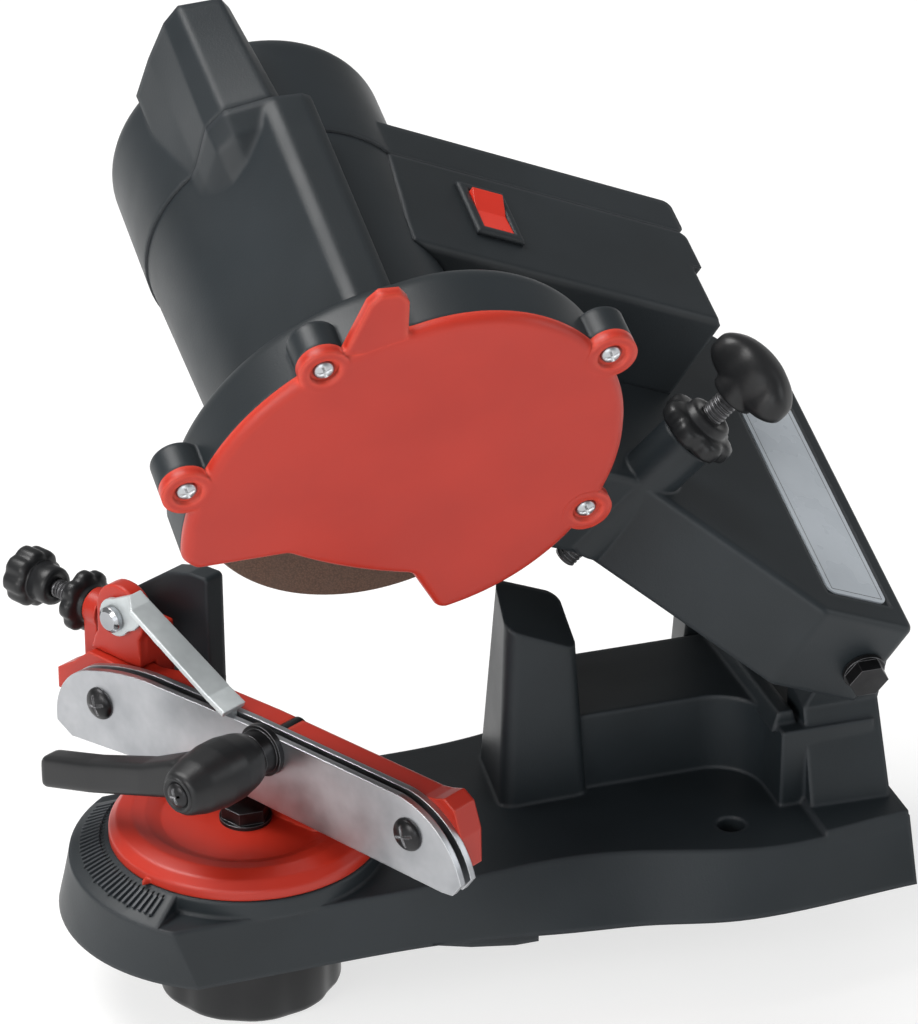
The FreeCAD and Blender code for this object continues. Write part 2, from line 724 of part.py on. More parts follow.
def clamp_stud():
    back = bar_back()
    start = HUB_Y[1] + 8.0
    return in_vise(Part.makeCylinder(CLAMP_R, back - 0.5 - start, V(CLAMP_S, start, CLAMP_Z), AXIS_Y))


def clamp_washer():
    front = -SLOT / 2 - PLATE_T
    cup = Part.makeCylinder(8.2, 2.0, V(CLAMP_S, front - 2.0, CLAMP_Z), AXIS_Y)
    end = HUB_Y[0] + 0.4 + GAP
    sleeve = Part.makeCylinder(7.0, front - 1.0 - end, V(CLAMP_S, end, CLAMP_Z), AXIS_Y)
    bore = Part.makeCylinder(CLAMP_R + RUN, 20.0, V(CLAMP_S, front - 12, CLAMP_Z), AXIS_Y)
    return in_vise(cup.fuse(sleeve).cut(bore))


def lever_section(s, y0, y1, z0, z1):
    return [V(s, y0, z0), V(s, y1, z0), V(s, y1, z1), V(s, y0, z1)]


def clamp_lever():
    y0 = HUB_Y[1]
    y1 = HUB_Y[0] + 0.4
    hub = spun_z([(0, 0), (5.4, 0), (6.2, 0.8), (8.6, 7.0), (10.2, 15.0), (9.6, 22.0), (7.4, y1 - y0),
                  (0, y1 - y0)])
    hub.rotate(ORIGIN, AXIS_X, -90)
    hub.translate(V(CLAMP_S, y0, CLAMP_Z))
    root = lever_section(CLAMP_S - 1.0, y0 + 5.0, y0 + 17.0, CLAMP_Z - 5.5, CLAMP_Z + 8.4)
    mid = lever_section(-8.0, y0 + 3.5, y0 + 12.5, CLAMP_Z - 8.0, CLAMP_Z + 2.0)
    tip = lever_section(-50.0, y0 + 3.0, y0 + 11.0, 38.8, 47.0)
    bar = lofted(root, mid).fuse(lofted(mid, tip))
    whole = joined([hub, bar])
    bore = Part.makeCylinder(CLAMP_R + RUN, y1 - y0, V(CLAMP_S, y0 + 7, CLAMP_Z), AXIS_Y)
    cup = Part.makeCylinder(4.6, 4.0, V(CLAMP_S, y0 - 1, CLAMP_Z), AXIS_Y)
    pilot = Part.makeCylinder(1.95, 9.0, V(CLAMP_S, y0, CLAMP_Z), AXIS_Y)
    return in_vise(cut_all(whole, [bore, cup, pilot]))


def lever_screw():
    head = spun_screw(4.3, 2.4, 1.9, 4.0)
    head.rotate(ORIGIN, AXIS_X, 90)
    head.translate(V(CLAMP_S, HUB_Y[1] + 3.0, CLAMP_Z))
    return in_vise(head)


def pawl_slider():
    y0, y1 = BOSS_Y
    low = BAR_FLAT_Z + GAP
    back = SCREW_Y + 4.6
    left, right = SLIDER_S
    boss = Part.makeCylinder(BOSS_R, y1 - y0, V(PIN_S, y0, PIN_Z), AXIS_Y)
    neck = slab_y([(left, low), (left - 2.6, PIN_Z - 9.0), (PIN_S - BOSS_R + 0.1, PIN_Z), (PIN_S, PIN_Z),
                   (right - 0.5, PIN_Z - 4.0), (right, low)], y0, y1)
    flare = slab_y([(-71.5, low), (left - 3.2, PIN_Z - 9.5), (left, PIN_Z - 9.5), (left, low)],
                   y0, y1 - 1.0)
    block = box(left, right, bar_back() + GAP, back, 53.0, PIN_Z - 4.0)
    block = rounded(block, 1.5, lambda e: e.BoundBox.YMin > back - 0.1)
    bridge = box(left, right, y0 + 3.0, back - 3.0, low, PIN_Z - 4.0)
    whole = joined([boss, neck, flare, block, bridge])
    cuts = [Part.makeCylinder(PIN_R, 30.0, V(PIN_S, 0, PIN_Z), AXIS_Y),
            Part.makeCylinder(SCREW_R + RUN, 40.0, V(-80, SCREW_Y, SCREW_Z), AXIS_X)]
    return in_vise(cut_all(whole, cuts))


def pawl_pin():
    eye = pawl_eye_y()
    shank = Part.makeCylinder(PIN_R - RUN, BOSS_Y[1] - eye + 3.0, V(PIN_S, eye - 3.0, PIN_Z), AXIS_Y)
    head = spun_z([(0, 0), (3.0, 0), (4.2, 1.0), (4.2, 2.7), (0, 2.7)])
    head.rotate(ORIGIN, AXIS_X, -90)
    head.translate(V(PIN_S, eye - 2.3 - 2.7, PIN_Z))
    return in_vise(head.fuse(shank).removeSplitter())


def pawl_eye_y():
    return BOSS_Y[0] - GAP


def strip_section(s, y0, y1, z):
    return [V(s, y0, z), V(s, y1, z), V(s - 0.6, y1, z - 1.8), V(s - 0.6, y0, z - 1.8)]


def pawl():
    eye = pawl_eye_y()
    ring = Part.makeCylinder(6.2, 2.0, V(PIN_S, eye - 2.0, PIN_Z), AXIS_Y)
    web = slab_y([(-56, 71.0), (-50, 74), (-43.5, 81.5), (-52, 85.4), (-62, 80.2)], eye - 2.0, eye)
    ridge = lofted(strip_section(-51.5, eye - 2.0, 8.8, 85.9), strip_section(-45.5, -1.5, 7.0, 85.0))
    strip = lofted(strip_section(-45.5, -1.5, 7.0, 85.0), strip_section(-11.5, -3.2, 6.2, 68.6))
    toe = lofted(strip_section(-11.5, -3.2, 6.2, 68.6), strip_section(-2.2, -6.0, 3.4, 67.8))
    finger = box(-9.0, -3.2, -0.9, 0.9, 60.0, 67.0)
    whole = joined([ring, web, ridge, strip, toe, finger])
    return in_vise(whole.cut(Part.makeCylinder(PIN_R, 30.0, V(PIN_S, 0, PIN_Z), AXIS_Y)))


def adjust_screw():
    start = -111.0
    shank = rod(SCREW_R, V(start, SCREW_Y, SCREW_Z), V(SLIDER_S[1] - 1.0, SCREW_Y, SCREW_Z))
    return in_vise(shank)


def screw_knob(radius, s0, s1, hub_r, hub_s):
    body = lobed_y(radius, KNOB_LOBES, LOBE_DENT, s0, s1, 0, 0)
    body = body.fuse(Part.makeCylinder(hub_r, abs(hub_s - s1), V(0, min(s1, hub_s), 0), AXIS_Y))
    body = body.cut(Part.makeCylinder(SCREW_R, 60, V(0, s0 + 3.0, 0), AXIS_Y))
    body.rotate(ORIGIN, AXIS_Z, -90)
    body.translate(V(0, SCREW_Y, SCREW_Z))
    return in_vise(body)


def adjust_knob():
    return screw_knob(9.5, -114.0, -105.0, 5.5, -101.0)


def lock_nut_knob():
    body = lobed_y(10.0, KNOB_LOBES, LOBE_DENT, -88.0, -82.6, 0, 0)
    body = body.fuse(Part.makeCylinder(6.0, 1.7, V(0, -82.6, 0), AXIS_Y))
    body = body.cut(Part.makeCylinder(SCREW_R + RUN, 60, V(0, -100.0, 0), AXIS_Y))
    body.rotate(ORIGIN, AXIS_Z, -90)
    body.translate(V(0, SCREW_Y, SCREW_Z))
    return in_vise(body)


def chip_shield():
    back = bar_back()
    leaf = slab_y([(-39, 44), (-39.5, 87), (-47, 86.6), (-57, 83.5), (-74, 71), (-74, 64), (-57, 58),
                   (-57, 44)], 25.0, 32.0)
    leaf = rounded(leaf, 1.5, lambda e: runs_along(e, AXIS_Y))
    foot = box(-57.0, -39.0, back, 32.0, 44.0, 51.0)
    return in_vise(joined([leaf, foot]))


# ---- arm and switch ----
def arm_plan(inset):
    near = NEAR_FACE - inset
    neck = GUARD_BACK - inset
    flare = inset * 0.45
    return [(near, ARM_END - inset), (near, ARM_FLARE_U + flare), (neck, ARM_NECK_U + flare),
            (neck, ARM_HEAD_U), (SEAM_A + inset, ARM_HEAD_U), (SEAM_A + inset, 84.0),
            (-115.0 + inset, 117.0 - inset), (FAR_FACE + inset, ARM_END - inset)]


def barrel_tool(grow):
    # the tapered motor barrel and the end cap behind it
    front = cone_x(BARREL_FRONT_R + grow, GUARD_BACK, BARREL_R + grow, SEAM_A)
    nose = rod_x(BARREL_FRONT_R + grow, GUARD_BACK, GUARD_BACK + 20, WHEEL_B, WHEEL_C)
    return front.fuse(nose).fuse(rod_x(BARREL_R + grow, BARREL_END - 10, SEAM_A, WHEEL_B, WHEEL_C))


def cone_x(r0, x0, r1, x1):
    return Part.makeCone(r0, r1, abs(x1 - x0), V(x0, WHEEL_B, WHEEL_C), V(x1 - x0, 0, 0))


def in_arm_only(shape):
    moved = shape.copy()
    moved.rotate(ORIGIN, AXIS_X, -RISE)
    return moved


def rod_tool(radius, start, end):
    low, along = rod_axis()
    return rod(radius, low + along * start, low + along * end)


def arm_housing():
    low = ARM_TOP - ARM_T
    outer = slab_z(arm_plan(0.0), low, ARM_TOP)
    outer = rounded(outer, 3.5, lambda e: runs_along(e, AXIS_Z) and e.BoundBox.YMin > 40)
    outer = rounded(outer, 2.0, lambda e: flat_at(e, AXIS_Z, ARM_TOP) and e.BoundBox.YMax > 30)
    inner = slab_z(arm_plan(ARM_SHELL), low - 1, ARM_TOP - ARM_SHELL)
    shell = outer.cut(inner)
    label = box(LABEL_A[0], LABEL_A[1], LABEL_U[0], LABEL_U[1], ARM_TOP - LABEL_DEEP, ARM_TOP + 5)
    shell = shell.cut(label)
    notch_low = HINGE_M + POST_R + 1.5
    spring_end = SPRING_A + SPRING_PITCH * SPRING_TURNS + SPRING_WIRE + 2.0
    for a0, a1 in ((FAR_FACE + ARM_SHELL - 0.1, FAR_FACE + ARM_SHELL + POST_T + 2.0),
                   (SPRING_A - SPRING_WIRE - 2.0, spring_end),
                   (NEAR_FACE - ARM_SHELL - POST_T - 2.0, NEAR_FACE - ARM_SHELL + 0.1)):
        shell = shell.cut(box(a0, a1, ARM_END - 8.0, ARM_END + 5, low - 5, notch_low))
    wiring = box(-112.0, -84.0, 15.0, 60.0, ARM_TOP - ARM_SHELL - 1, ARM_TOP + 1)
    shell = in_arm_only(shell.cut(wiring))
    shell = shell.cut(barrel_tool(0.0))
    boss = rod_tool(ROD_BOSS_R, 8.0, ROD_BOSS_TOP)
    shell = shell.fuse(boss.cut(in_arm_only(box(-60, 0, 20, 100, low - 30, low + 1.0))))
    shell = shell.cut(rod_tool(ROD_R + RUN, -5.0, ROD_BOSS_TOP + 34.2))
    seat = rod_x(NUT_SEAT_R, FAR_SEAT, FAR_FACE + ARM_SHELL - 0.4, HINGE.y, HINGE.z)
    shell = shell.fuse(seat)
    shell = shell.cut(rod_x(HINGE_R + RUN, FAR_SEAT - 5, NEAR_FACE + 5, HINGE.y, HINGE.z))
    return in_head(shell.removeSplitter())


def arm_base_cover():
    low = ARM_TOP - ARM_T + 0.2
    plan = arm_plan(ARM_SHELL + SHELL_GAP)
    plate = slab_z(plan, low, low + 2.5)
    plate = plate.common(box(-200, 100, BASE_COVER_U0, BASE_COVER_U1, low - 5, low + 10))
    plate = in_arm_only(plate).cut(barrel_tool(1.0))
    return in_head(plate.cut(rod_tool(ROD_BOSS_R + SHELL_GAP, -5.0, 90.0)))


def label_plate():
    face = ARM_TOP - LABEL_DEEP
    plate = box(LABEL_A[0] + 1, LABEL_A[1] - 1, LABEL_U[0] + 1, LABEL_U[1] - 1, face, face + LABEL_T)
    plate = rounded(plate, 3.0, lambda e: runs_along(e, AXIS_Z))
    return in_arm(plate)


def switch_hole(grow):
    half_l = ROCKER_L / 2 + grow
    half_w = ROCKER_W / 2 + grow
    return box(ROCKER_A - half_l, ROCKER_A + half_l, ROCKER_U - half_w, ROCKER_U + half_w,
               BOX_TOP - 25, BOX_TOP + 10)


def box_shell(a0, a1, wall0, wall1):
    outer = box(a0, a1, -32.0, BOX_END_U, ARM_TOP, BOX_TOP)
    outer = rounded(outer, 3.0, lambda e: runs_along(e, AXIS_Z) and e.BoundBox.YMin > 50)
    inner = box(a0 + wall0, a1 - wall1, -60.0, BOX_END_U - BOX_STEP - ARM_SHELL, ARM_TOP - 1,
                BOX_TOP - ARM_SHELL)
    step = box(BOX_STEP_A, a1 + 1.0, BOX_END_U - BOX_STEP, BOX_END_U + 5.0, ARM_TOP - 1, BOX_TOP + 1)
    return outer.cut(inner).cut(step)


def switch_box():
    shell = box_shell(SEAM_A, BOX_NEAR, -1.0, ARM_SHELL)
    shell = rounded(shell, 2.0, lambda e: flat_at(e, AXIS_Z, BOX_TOP) and e.BoundBox.XMax > -78)
    shell = shell.cut(switch_hole(1.2))
    shell = in_arm_only(shell).cut(barrel_tool(0.0))
    return in_head(shell)


def switch_bezel():
    bezel = box(ROCKER_A - BEZEL_L / 2, ROCKER_A + BEZEL_L / 2, ROCKER_U - BEZEL_W / 2,
                ROCKER_U + BEZEL_W / 2, BOX_TOP, BOX_TOP + 1.8)
    bezel = rounded(bezel, 1.0, lambda e: flat_at(e, AXIS_Z, BOX_TOP + 1.8))
    skirt = box(ROCKER_A - ROCKER_L / 2 - 1.1, ROCKER_A + ROCKER_L / 2 + 1.1,
                ROCKER_U - ROCKER_W / 2 - 1.1, ROCKER_U + ROCKER_W / 2 + 1.1, BOX_TOP - 10, BOX_TOP + 0.5)
    bezel = bezel.fuse(skirt).removeSplitter().cut(switch_hole(0.3))
    return in_arm(bezel.cut(rocker_pins(PIVOT_R + RUN, ROCKER_W / 2 + PIVOT_OUT + 0.05)))


def switch_body():
    body = box(ROCKER_A - 10.0, ROCKER_A + 10.0, ROCKER_U - 5.2, ROCKER_U + 7.0,
               BOX_TOP - 24.0, BOX_TOP - 10.1)
    pins = [box(ROCKER_A - 7.0 + 7.0 * k, ROCKER_A - 6.2 + 7.0 * k, ROCKER_U - 2.4, ROCKER_U + 2.4,
                BOX_TOP - 27.5, BOX_TOP - 24.0) for k in range(3)]
    return in_arm(joined([body] + pins))


def rocker_pivot():
    return V(ROCKER_A, ROCKER_U, BOX_TOP - 2.0)


def rocker_pins(radius, reach):
    pivot = rocker_pivot()
    return Part.makeCylinder(radius, 2 * reach, V(pivot.x, pivot.y - reach, pivot.z), AXIS_Y)


def switch_rocker():
    half_w = ROCKER_W / 2
    pivot = rocker_pivot()
    reach = ROCKER_L / 2 - 0.7
    outline = [(-reach, 4.6), (-reach + 0.4, -3.5), (0, -6.5), (reach - 0.4, -3.5), (reach, 4.6),
               (0, 3.2)]
    points = [V(pivot.x + x, pivot.y - half_w, pivot.z + z) for x, z in outline]
    body = prism(points, V(0, ROCKER_W, 0))
    body.rotate(pivot, AXIS_Y, ROCKER_TIP)
    body = body.fuse(rocker_pins(PIVOT_R, half_w + PIVOT_OUT))
    return in_arm(body.removeSplitter())


# ---- depth stop ----
def depth_rod():
    return in_head(rod_tool(ROD_R, 0.0, ROD_LEN - 4.0))


def depth_lock_nut():
    low, along = rod_axis()
    start = ROD_BOSS_TOP + 0.2
    nut = rod_tool(12.5, start, start + 7.0)
    nut = nut.fuse(rod_tool(7.5, start, start + 10.0)).cut(rod_tool(ROD_R + RUN, 50.0, 90.0))
    for index in range(6):
        flute = rod_tool(4.0, start - 1.0, start + 8.0)
        side = V(1, 0, 0) * 14.6
        side = FreeCAD.Rotation(along, 60.0 * index).multVec(side)
        flute.translate(side)
        nut = nut.cut(flute)
    return in_head(nut)


def depth_knob():
    low, along = rod_axis()
    hub = rod_tool(7.5, KNOB_AT - 10.0, KNOB_AT + 5.0)
    wing = Part.makeBox(32.0, 9.0, 15.0, V(-16.0, -4.5, 0))
    wing = rounded(wing, 4.2, lambda e: runs_along(e, AXIS_Z))
    for side in (-1, 1):
        end = Part.makeCylinder(7.0, 15.0, V(side * 10.5, 0, 0), AXIS_Z)
        wing = wing.fuse(end)
    wing = wing.removeSplitter()
    wing = rounded(wing, 1.8, lambda e: flat_at(e, AXIS_Z, 15.0))
    wing.rotate(ORIGIN, AXIS_Z, 27.0)
    wing.rotate(ORIGIN, AXIS_X, -ROD_LEAN - RISE)
    wing.translate(low + along * (KNOB_AT - 7.0))
    return in_head(hub.fuse(wing).removeSplitter().cut(rod_tool(ROD_R + RUN, 60.0, ROD_LEN - 4.0)))


# ---- guard and wheel ----
def guard_outline():
    b = WHEEL_B
    c = WHEEL_C
    lower = V(0, b - 60.3, c - 12.5)
    crown = V(0, b + 2.0, c + 65.0)
    heel = V(0, b + 68.5, c + 17.0)
    beak = V(0, b + 19.0, c - 49.0)
    notch = V(0, b + 9.5, c - 32.0)
    edge = V(0, b - 29.0, c - 16.0)
    jaw = V(0, b - 56.3, c - 16.5)
    pieces = [Part.Arc(lower, V(0, b - 45.5, c + 37.5), crown),
              Part.Arc(crown, V(0, b + 40.0, c + 61.5), heel),
              Part.Arc(heel, V(0, b + 58.0, c - 23.0), beak),
              Part.LineSegment(beak, notch),
              Part.Arc(notch, V(0, b - 8.0, c - 26.5), edge),
              Part.LineSegment(edge, jaw),
              Part.LineSegment(jaw, lower)]
    return Part.Wire([p.toShape() for p in pieces])


def guard_solid(inset, a0, a1):
    wire = guard_outline()
    if inset:
        wire = wire.makeOffset2D(-inset, 2)
    face = Part.Face(wire)
    face.translate(V(a0, 0, 0))
    return face.extrude(V(a1 - a0, 0, 0))


def wheel_room():
    return rod_x(WHEEL_R + WHEEL_ROOM, GUARD_BACK + GUARD_WALL, GUARD_FRONT - GUARD_WALL,
                 WHEEL_B, WHEEL_C)


def guard_back():
    outer = guard_solid(0.0, GUARD_SEAM, GUARD_BACK)
    outer = rounded(outer, GUARD_CORNER, lambda e: runs_along(e, AXIS_X))
    outer = rounded(outer, GUARD_ROUND, lambda e: flat_at(e, AXIS_X, GUARD_BACK))
    for b, c in LUGS:
        outer = outer.fuse(rod_x(LUG_R, GUARD_SEAM - 9.5, GUARD_SEAM, WHEEL_B + b, WHEEL_C + c))
    shell = outer.cut(guard_solid(GUARD_WALL, GUARD_SEAM + 1, GUARD_BACK + GUARD_WALL))
    shell = shell.cut(wheel_room())
    shell = shell.cut(rod_x(12.5, GUARD_BACK - 1, GUARD_SEAM, WHEEL_B, WHEEL_C))
    for b, c in LUGS:
        shell = shell.cut(rod_x(1.6, GUARD_SEAM - 8.0, GUARD_SEAM + 1, WHEEL_B + b, WHEEL_C + c))
    return in_head(shell.removeSplitter())


def guard_cover():
    outer = guard_solid(0.0, GUARD_SEAM, GUARD_FRONT)
    outer = rounded(outer, GUARD_CORNER, lambda e: runs_along(e, AXIS_X))
    outer = rounded(outer, 2.6, lambda e: flat_at(e, AXIS_X, GUARD_FRONT))
    lug_top = GUARD_SEAM + 3.6
    for b, c in LUGS:
        outer = outer.fuse(rod_x(LUG_R, GUARD_SEAM, lug_top, WHEEL_B + b, WHEEL_C + c))
    fin = [(-0.5, 60), (-1.5, 77), (-4.0, 80.3), (-10.0, 80.6), (-13.0, 77.5), (-19.0, 60)]
    fin = [(WHEEL_B + b, WHEEL_C + c) for b, c in fin]
    outer = outer.fuse(slab_x(fin, GUARD_SEAM, GUARD_SEAM + 3.2))
    shell = outer.cut(guard_solid(GUARD_WALL, GUARD_SEAM - 1, GUARD_FRONT - GUARD_WALL + 0.6))
    shell = shell.cut(wheel_room())
    for b, c in LUGS:
        shell = shell.cut(rod_x(2.2, GUARD_SEAM - 1, lug_top + 1, WHEEL_B + b, WHEEL_C + c))
        shell = shell.cut(rod_x(4.4, lug_top - 1.5, lug_top + 4, WHEEL_B + b, WHEEL_C + c))
    return in_head(shell.removeSplitter())


def guard_screws():
    screws = []
    for b, c in LUGS:
        screw = spun_screw(4.0, 2.2, 1.55, 9.0)
        screw.rotate(ORIGIN, AXIS_Y, 90)
        screw.translate(V(GUARD_SEAM + 2.1, WHEEL_B + b, WHEEL_C + c))
        screws.append(screw)
    return in_head(Part.makeCompound(screws))


def grinding_wheel():
    half = WHEEL_T / 2
    wheel = spun_x([(WHEEL_A - half, WHEEL_BORE_R), (WHEEL_A - half, WHEEL_R - 0.8),
                    (WHEEL_A - half + 0.8, WHEEL_R), (WHEEL_A + half - 0.8, WHEEL_R),
                    (WHEEL_A + half, WHEEL_R - 0.8), (WHEEL_A + half, WHEEL_BORE_R)],
                   WHEEL_B, WHEEL_C)
    return in_head(wheel)


def inner_flange():
    back = WHEEL_A - WHEEL_T / 2
    body = spun_x([(back - 8.0, SHAFT_R + RUN), (back - 8.0, 9.0), (back - 2.4, 9.0), (back - 2.0, 18.0),
                   (back, 18.0), (back, WHEEL_BORE_R - RUN), (back + WHEEL_T - 0.3, WHEEL_BORE_R - RUN),
                   (back + WHEEL_T - 0.3, SHAFT_R + RUN)], WHEEL_B, WHEEL_C)
    return in_head(body)


def outer_flange():
    front = WHEEL_A + WHEEL_T / 2
    body = spun_x([(front, SHAFT_R + RUN), (front, 18.0), (front + 1.5, 18.0), (front + 2.5, 10.0),
                   (front + 2.5, SHAFT_R + RUN)], WHEEL_B, WHEEL_C)
    return in_head(body)


def arbor_nut():
    front = WHEEL_A + WHEEL_T / 2 + 2.5
    nut = hex_x(6.5, front, front + 5.0, WHEEL_B, WHEEL_C)
    return in_head(nut.cut(rod_x(SHAFT_R + RUN, front - 1, front + 6, WHEEL_B, WHEEL_C)))


# ---- motor ----
def saddle_section(a):
    outline = [(-33, 21), (-29, 34), (-27, 48), (-22, 54), (-8, 57), (-4, 54), (-3, 30), (-20, 12)]
    return [V(a, WHEEL_B + b, WHEEL_C + c) for b, c in outline]


def fading_section(a, part):
    # the grip's section drawn in towards the barrel, part 0 at the seam and 1 inside it
    outline = [(-33, 21), (-29, 34), (-27, 48), (-22, 54), (-8, 57), (-4, 54), (-3, 30), (-20, 12)]
    points = []
    for b, c in outline:
        away = math.hypot(b, c)
        inner = min(away, BARREL_R - 3.5)
        scale = (away + (inner - away) * part) / away
        points.append(V(a, WHEEL_B + b * scale, WHEEL_C + c * scale))
    return points


def rib_section(a, radius, top):
    # one flank of the rib leaves the barrel, of this radius, as a tangent
    away = math.hypot(RIB_B, top)
    angle = math.atan2(top, RIB_B) + math.acos(radius / away)
    left = (radius * math.cos(angle), radius * math.sin(angle))
    outline = [left, (RIB_B - 1.0, top - 1.6), (RIB_B + 2.0, top), (1.5, top), (4.2, top - 1.4),
               (5.5, top - 4.5), (5.5, 15.0), (-15.0, 5.0)]
    return [V(a, WHEEL_B + b, WHEEL_C + c) for b, c in outline]


def motor_housing():
    front = GUARD_BACK
    outer = cone_x(BARREL_FRONT_R, front, BARREL_R, SEAM_A)
    rib = lofted(rib_section(SEAM_A, BARREL_R - 0.2, 57.0), rib_section(front, BARREL_FRONT_R - 0.2, 56.0))
    steps = [(0.0, 0.0), (8.0, 0.18), (19.0, 0.8), (27.0, 1.0)]
    wires = [polygon(fading_section(SEAM_A + reach, part)) for reach, part in steps]
    ramp = Part.makeLoft(wires, True, True)
    outer = joined([outer, rib, ramp])
    seat_end = STATOR_A[1] - 2.0
    seat_bore = rod_x(STATOR_SEAT_R, seat_end - 1, front - 3.0, WHEEL_B, WHEEL_C)
    wide = cone_x(BARREL_R - BARREL_WALL - 0.8, seat_end, BARREL_R - BARREL_WALL, SEAM_A - 0.5)
    shell = outer.cut(seat_bore).cut(wide)
    seat = ring_x(BEARING_R + 2.5, BEARING_R, front - 3.0 - BEARING_W, front - 3.0,
                  WHEEL_B, WHEEL_C)
    shell = shell.fuse(seat).cut(rod_x(9.4, front - 5, front + 1, WHEEL_B, WHEEL_C))
    return in_head(shell.removeSplitter())


def rear_shell():
    seam = SEAM_A - SHELL_GAP
    barrel = rod_x(BARREL_R + 0.6, BARREL_END, seam, WHEEL_B, WHEEL_C)
    barrel = rounded(barrel, 9.0, lambda e: flat_at(e, AXIS_X, BARREL_END))
    far = [(-36, 27), (-33, 41), (-29, 54), (-25, 60), (-12, 61), (-9, 57), (-7, 36), (-22, 16)]
    far = [V(BARREL_END + 6.0, WHEEL_B + b, WHEEL_C + c) for b, c in far]
    grip = lofted(saddle_section(seam), far)
    shell = joined([barrel, grip])
    lid = in_arm_only(box_shell(BOX_FAR, seam, ARM_SHELL, -1.0))
    shell = shell.fuse(lid.cut(rod_x(BARREL_R - 1.0, BARREL_END, seam, WHEEL_B, WHEEL_C)))
    bore = rod_x(BARREL_R - BARREL_WALL, BARREL_END + 3.5, seam + 1, WHEEL_B, WHEEL_C)
    shell = shell.cut(bore)
    seat = ring_x(BEARING_R + 2.5, BEARING_R, BARREL_END + 3.0, BARREL_END + 5.0 + BEARING_W,
                  WHEEL_B, WHEEL_C)
    shell = shell.fuse(seat)
    vents = []
    for index in range(10):
        angle = 2 * math.pi * index / 10
        vent = box(BARREL_END - 1, BARREL_END + 5, -1.5, 1.5, 17.0, 29.0)
        vent.rotate(ORIGIN, AXIS_X, math.degrees(angle))
        vent.translate(V(0, WHEEL_B, WHEEL_C))
        vents.append(vent)
    for b, c in SHELL_SCREWS:
        vents.append(rod_x(1.55, BARREL_END - 1, BARREL_END + 14, WHEEL_B + b, WHEEL_C + c))
    inlet = rod(GLAND_R, V(BOX_FAR - 2, GLAND_U, GLAND_M), V(BOX_FAR + 8, GLAND_U, GLAND_M))
    vents.append(in_arm_only(inlet))
    return in_head(cut_all(shell, vents).removeSplitter())


def shell_screws():
    screws = []
    for b, c in SHELL_SCREWS:
        screw = spun_screw(3.6, 2.0, 1.5, 12.0)
        screw.rotate(ORIGIN, AXIS_Y, -90)
        screw.translate(V(BARREL_END, WHEEL_B + b, WHEEL_C + c))
        screws.append(screw)
    return in_head(Part.makeCompound(screws))


def cord_gland():
    out = V(BOX_FAR - 9.0, GLAND_U, GLAND_M)
    face = V(BOX_FAR, GLAND_U, GLAND_M)
    tail = V(BOX_FAR + 7.0, GLAND_U, GLAND_M)
    body = rod(GLAND_R + 2.0, out, face).fuse(rod(GLAND_R - RUN, face, tail))
    body = body.removeSplitter().cut(rod(3.2, out, tail))
    return in_arm(body)


def stator():
    ring = ring_x(STATOR_SEAT_R, CORE_R + AIR_GAP, STATOR_A[1], STATOR_A[0], WHEEL_B, WHEEL_C)
    return in_head(ring)


def rotor_core():
    core = ring_x(CORE_R, SHAFT_R + 0.02, STATOR_A[1] - 2, STATOR_A[0] + 2, WHEEL_B, WHEEL_C)
    for index in range(12):
        angle = 2 * math.pi * index / 12
        slot = rod_x(1.4, STATOR_A[1] - 5, STATOR_A[0] + 5,
                     WHEEL_B + (CORE_R - 0.6) * math.cos(angle), WHEEL_C + (CORE_R - 0.6) * math.sin(angle))
        core = core.cut(slot)
    return in_head(core)


def commutator():
    return in_head(ring_x(11.0, SHAFT_R + 0.02, -138.0, -124.0, WHEEL_B, WHEEL_C))


def brush_holders():
    blocks = []
    for side in (-1, 1):
        inner = 11.0 + GAP
        outer = BARREL_R - BARREL_WALL - 0.4
        block = box(-135.0, -127.0, -4.0, 4.0, inner, outer)
        if side < 0:
            block.rotate(ORIGIN, AXIS_X, 180)
        block.translate(V(0, WHEEL_B, WHEEL_C))
        blocks.append(block)
    return in_head(Part.makeCompound(blocks))


def rotor_shaft():
    front = WHEEL_A + WHEEL_T / 2 + 8.5
    return in_head(rod_x(SHAFT_R, BARREL_END + 4.0, front, WHEEL_B, WHEEL_C))


def shaft_bearings():
    rings = [ring_x(BEARING_R - 0.02, SHAFT_R + RUN, GUARD_BACK - 3.0 - BEARING_W, GUARD_BACK - 3.0,
                    WHEEL_B, WHEEL_C),
             ring_x(BEARING_R - 0.02, SHAFT_R + RUN, BARREL_END + 5.0, BARREL_END + 5.0 + BEARING_W,
                    WHEEL_B, WHEEL_C)]
    return in_head(Part.makeCompound(rings))


def motor_fan():
    hub = rod_x(9.0, FAN_A - FAN_T, FAN_A, WHEEL_B, WHEEL_C)
    plate = rod_x(FAN_R, FAN_A - 1.2, FAN_A, WHEEL_B, WHEEL_C)
    blades = []
    for index in range(9):
        blade = box(FAN_A - FAN_T, FAN_A - 1.0, -0.6, 0.6, 8.0, FAN_R - 0.5)
        blade.rotate(ORIGIN, AXIS_X, 40.0 * index)
        blade.translate(V(0, WHEEL_B, WHEEL_C))
        blades.append(blade)
    fan = joined([hub, plate] + blades)
    return in_head(fan.cut(rod_x(SHAFT_R + 0.02, FAN_A - 20, FAN_A + 5, WHEEL_B, WHEEL_C)))


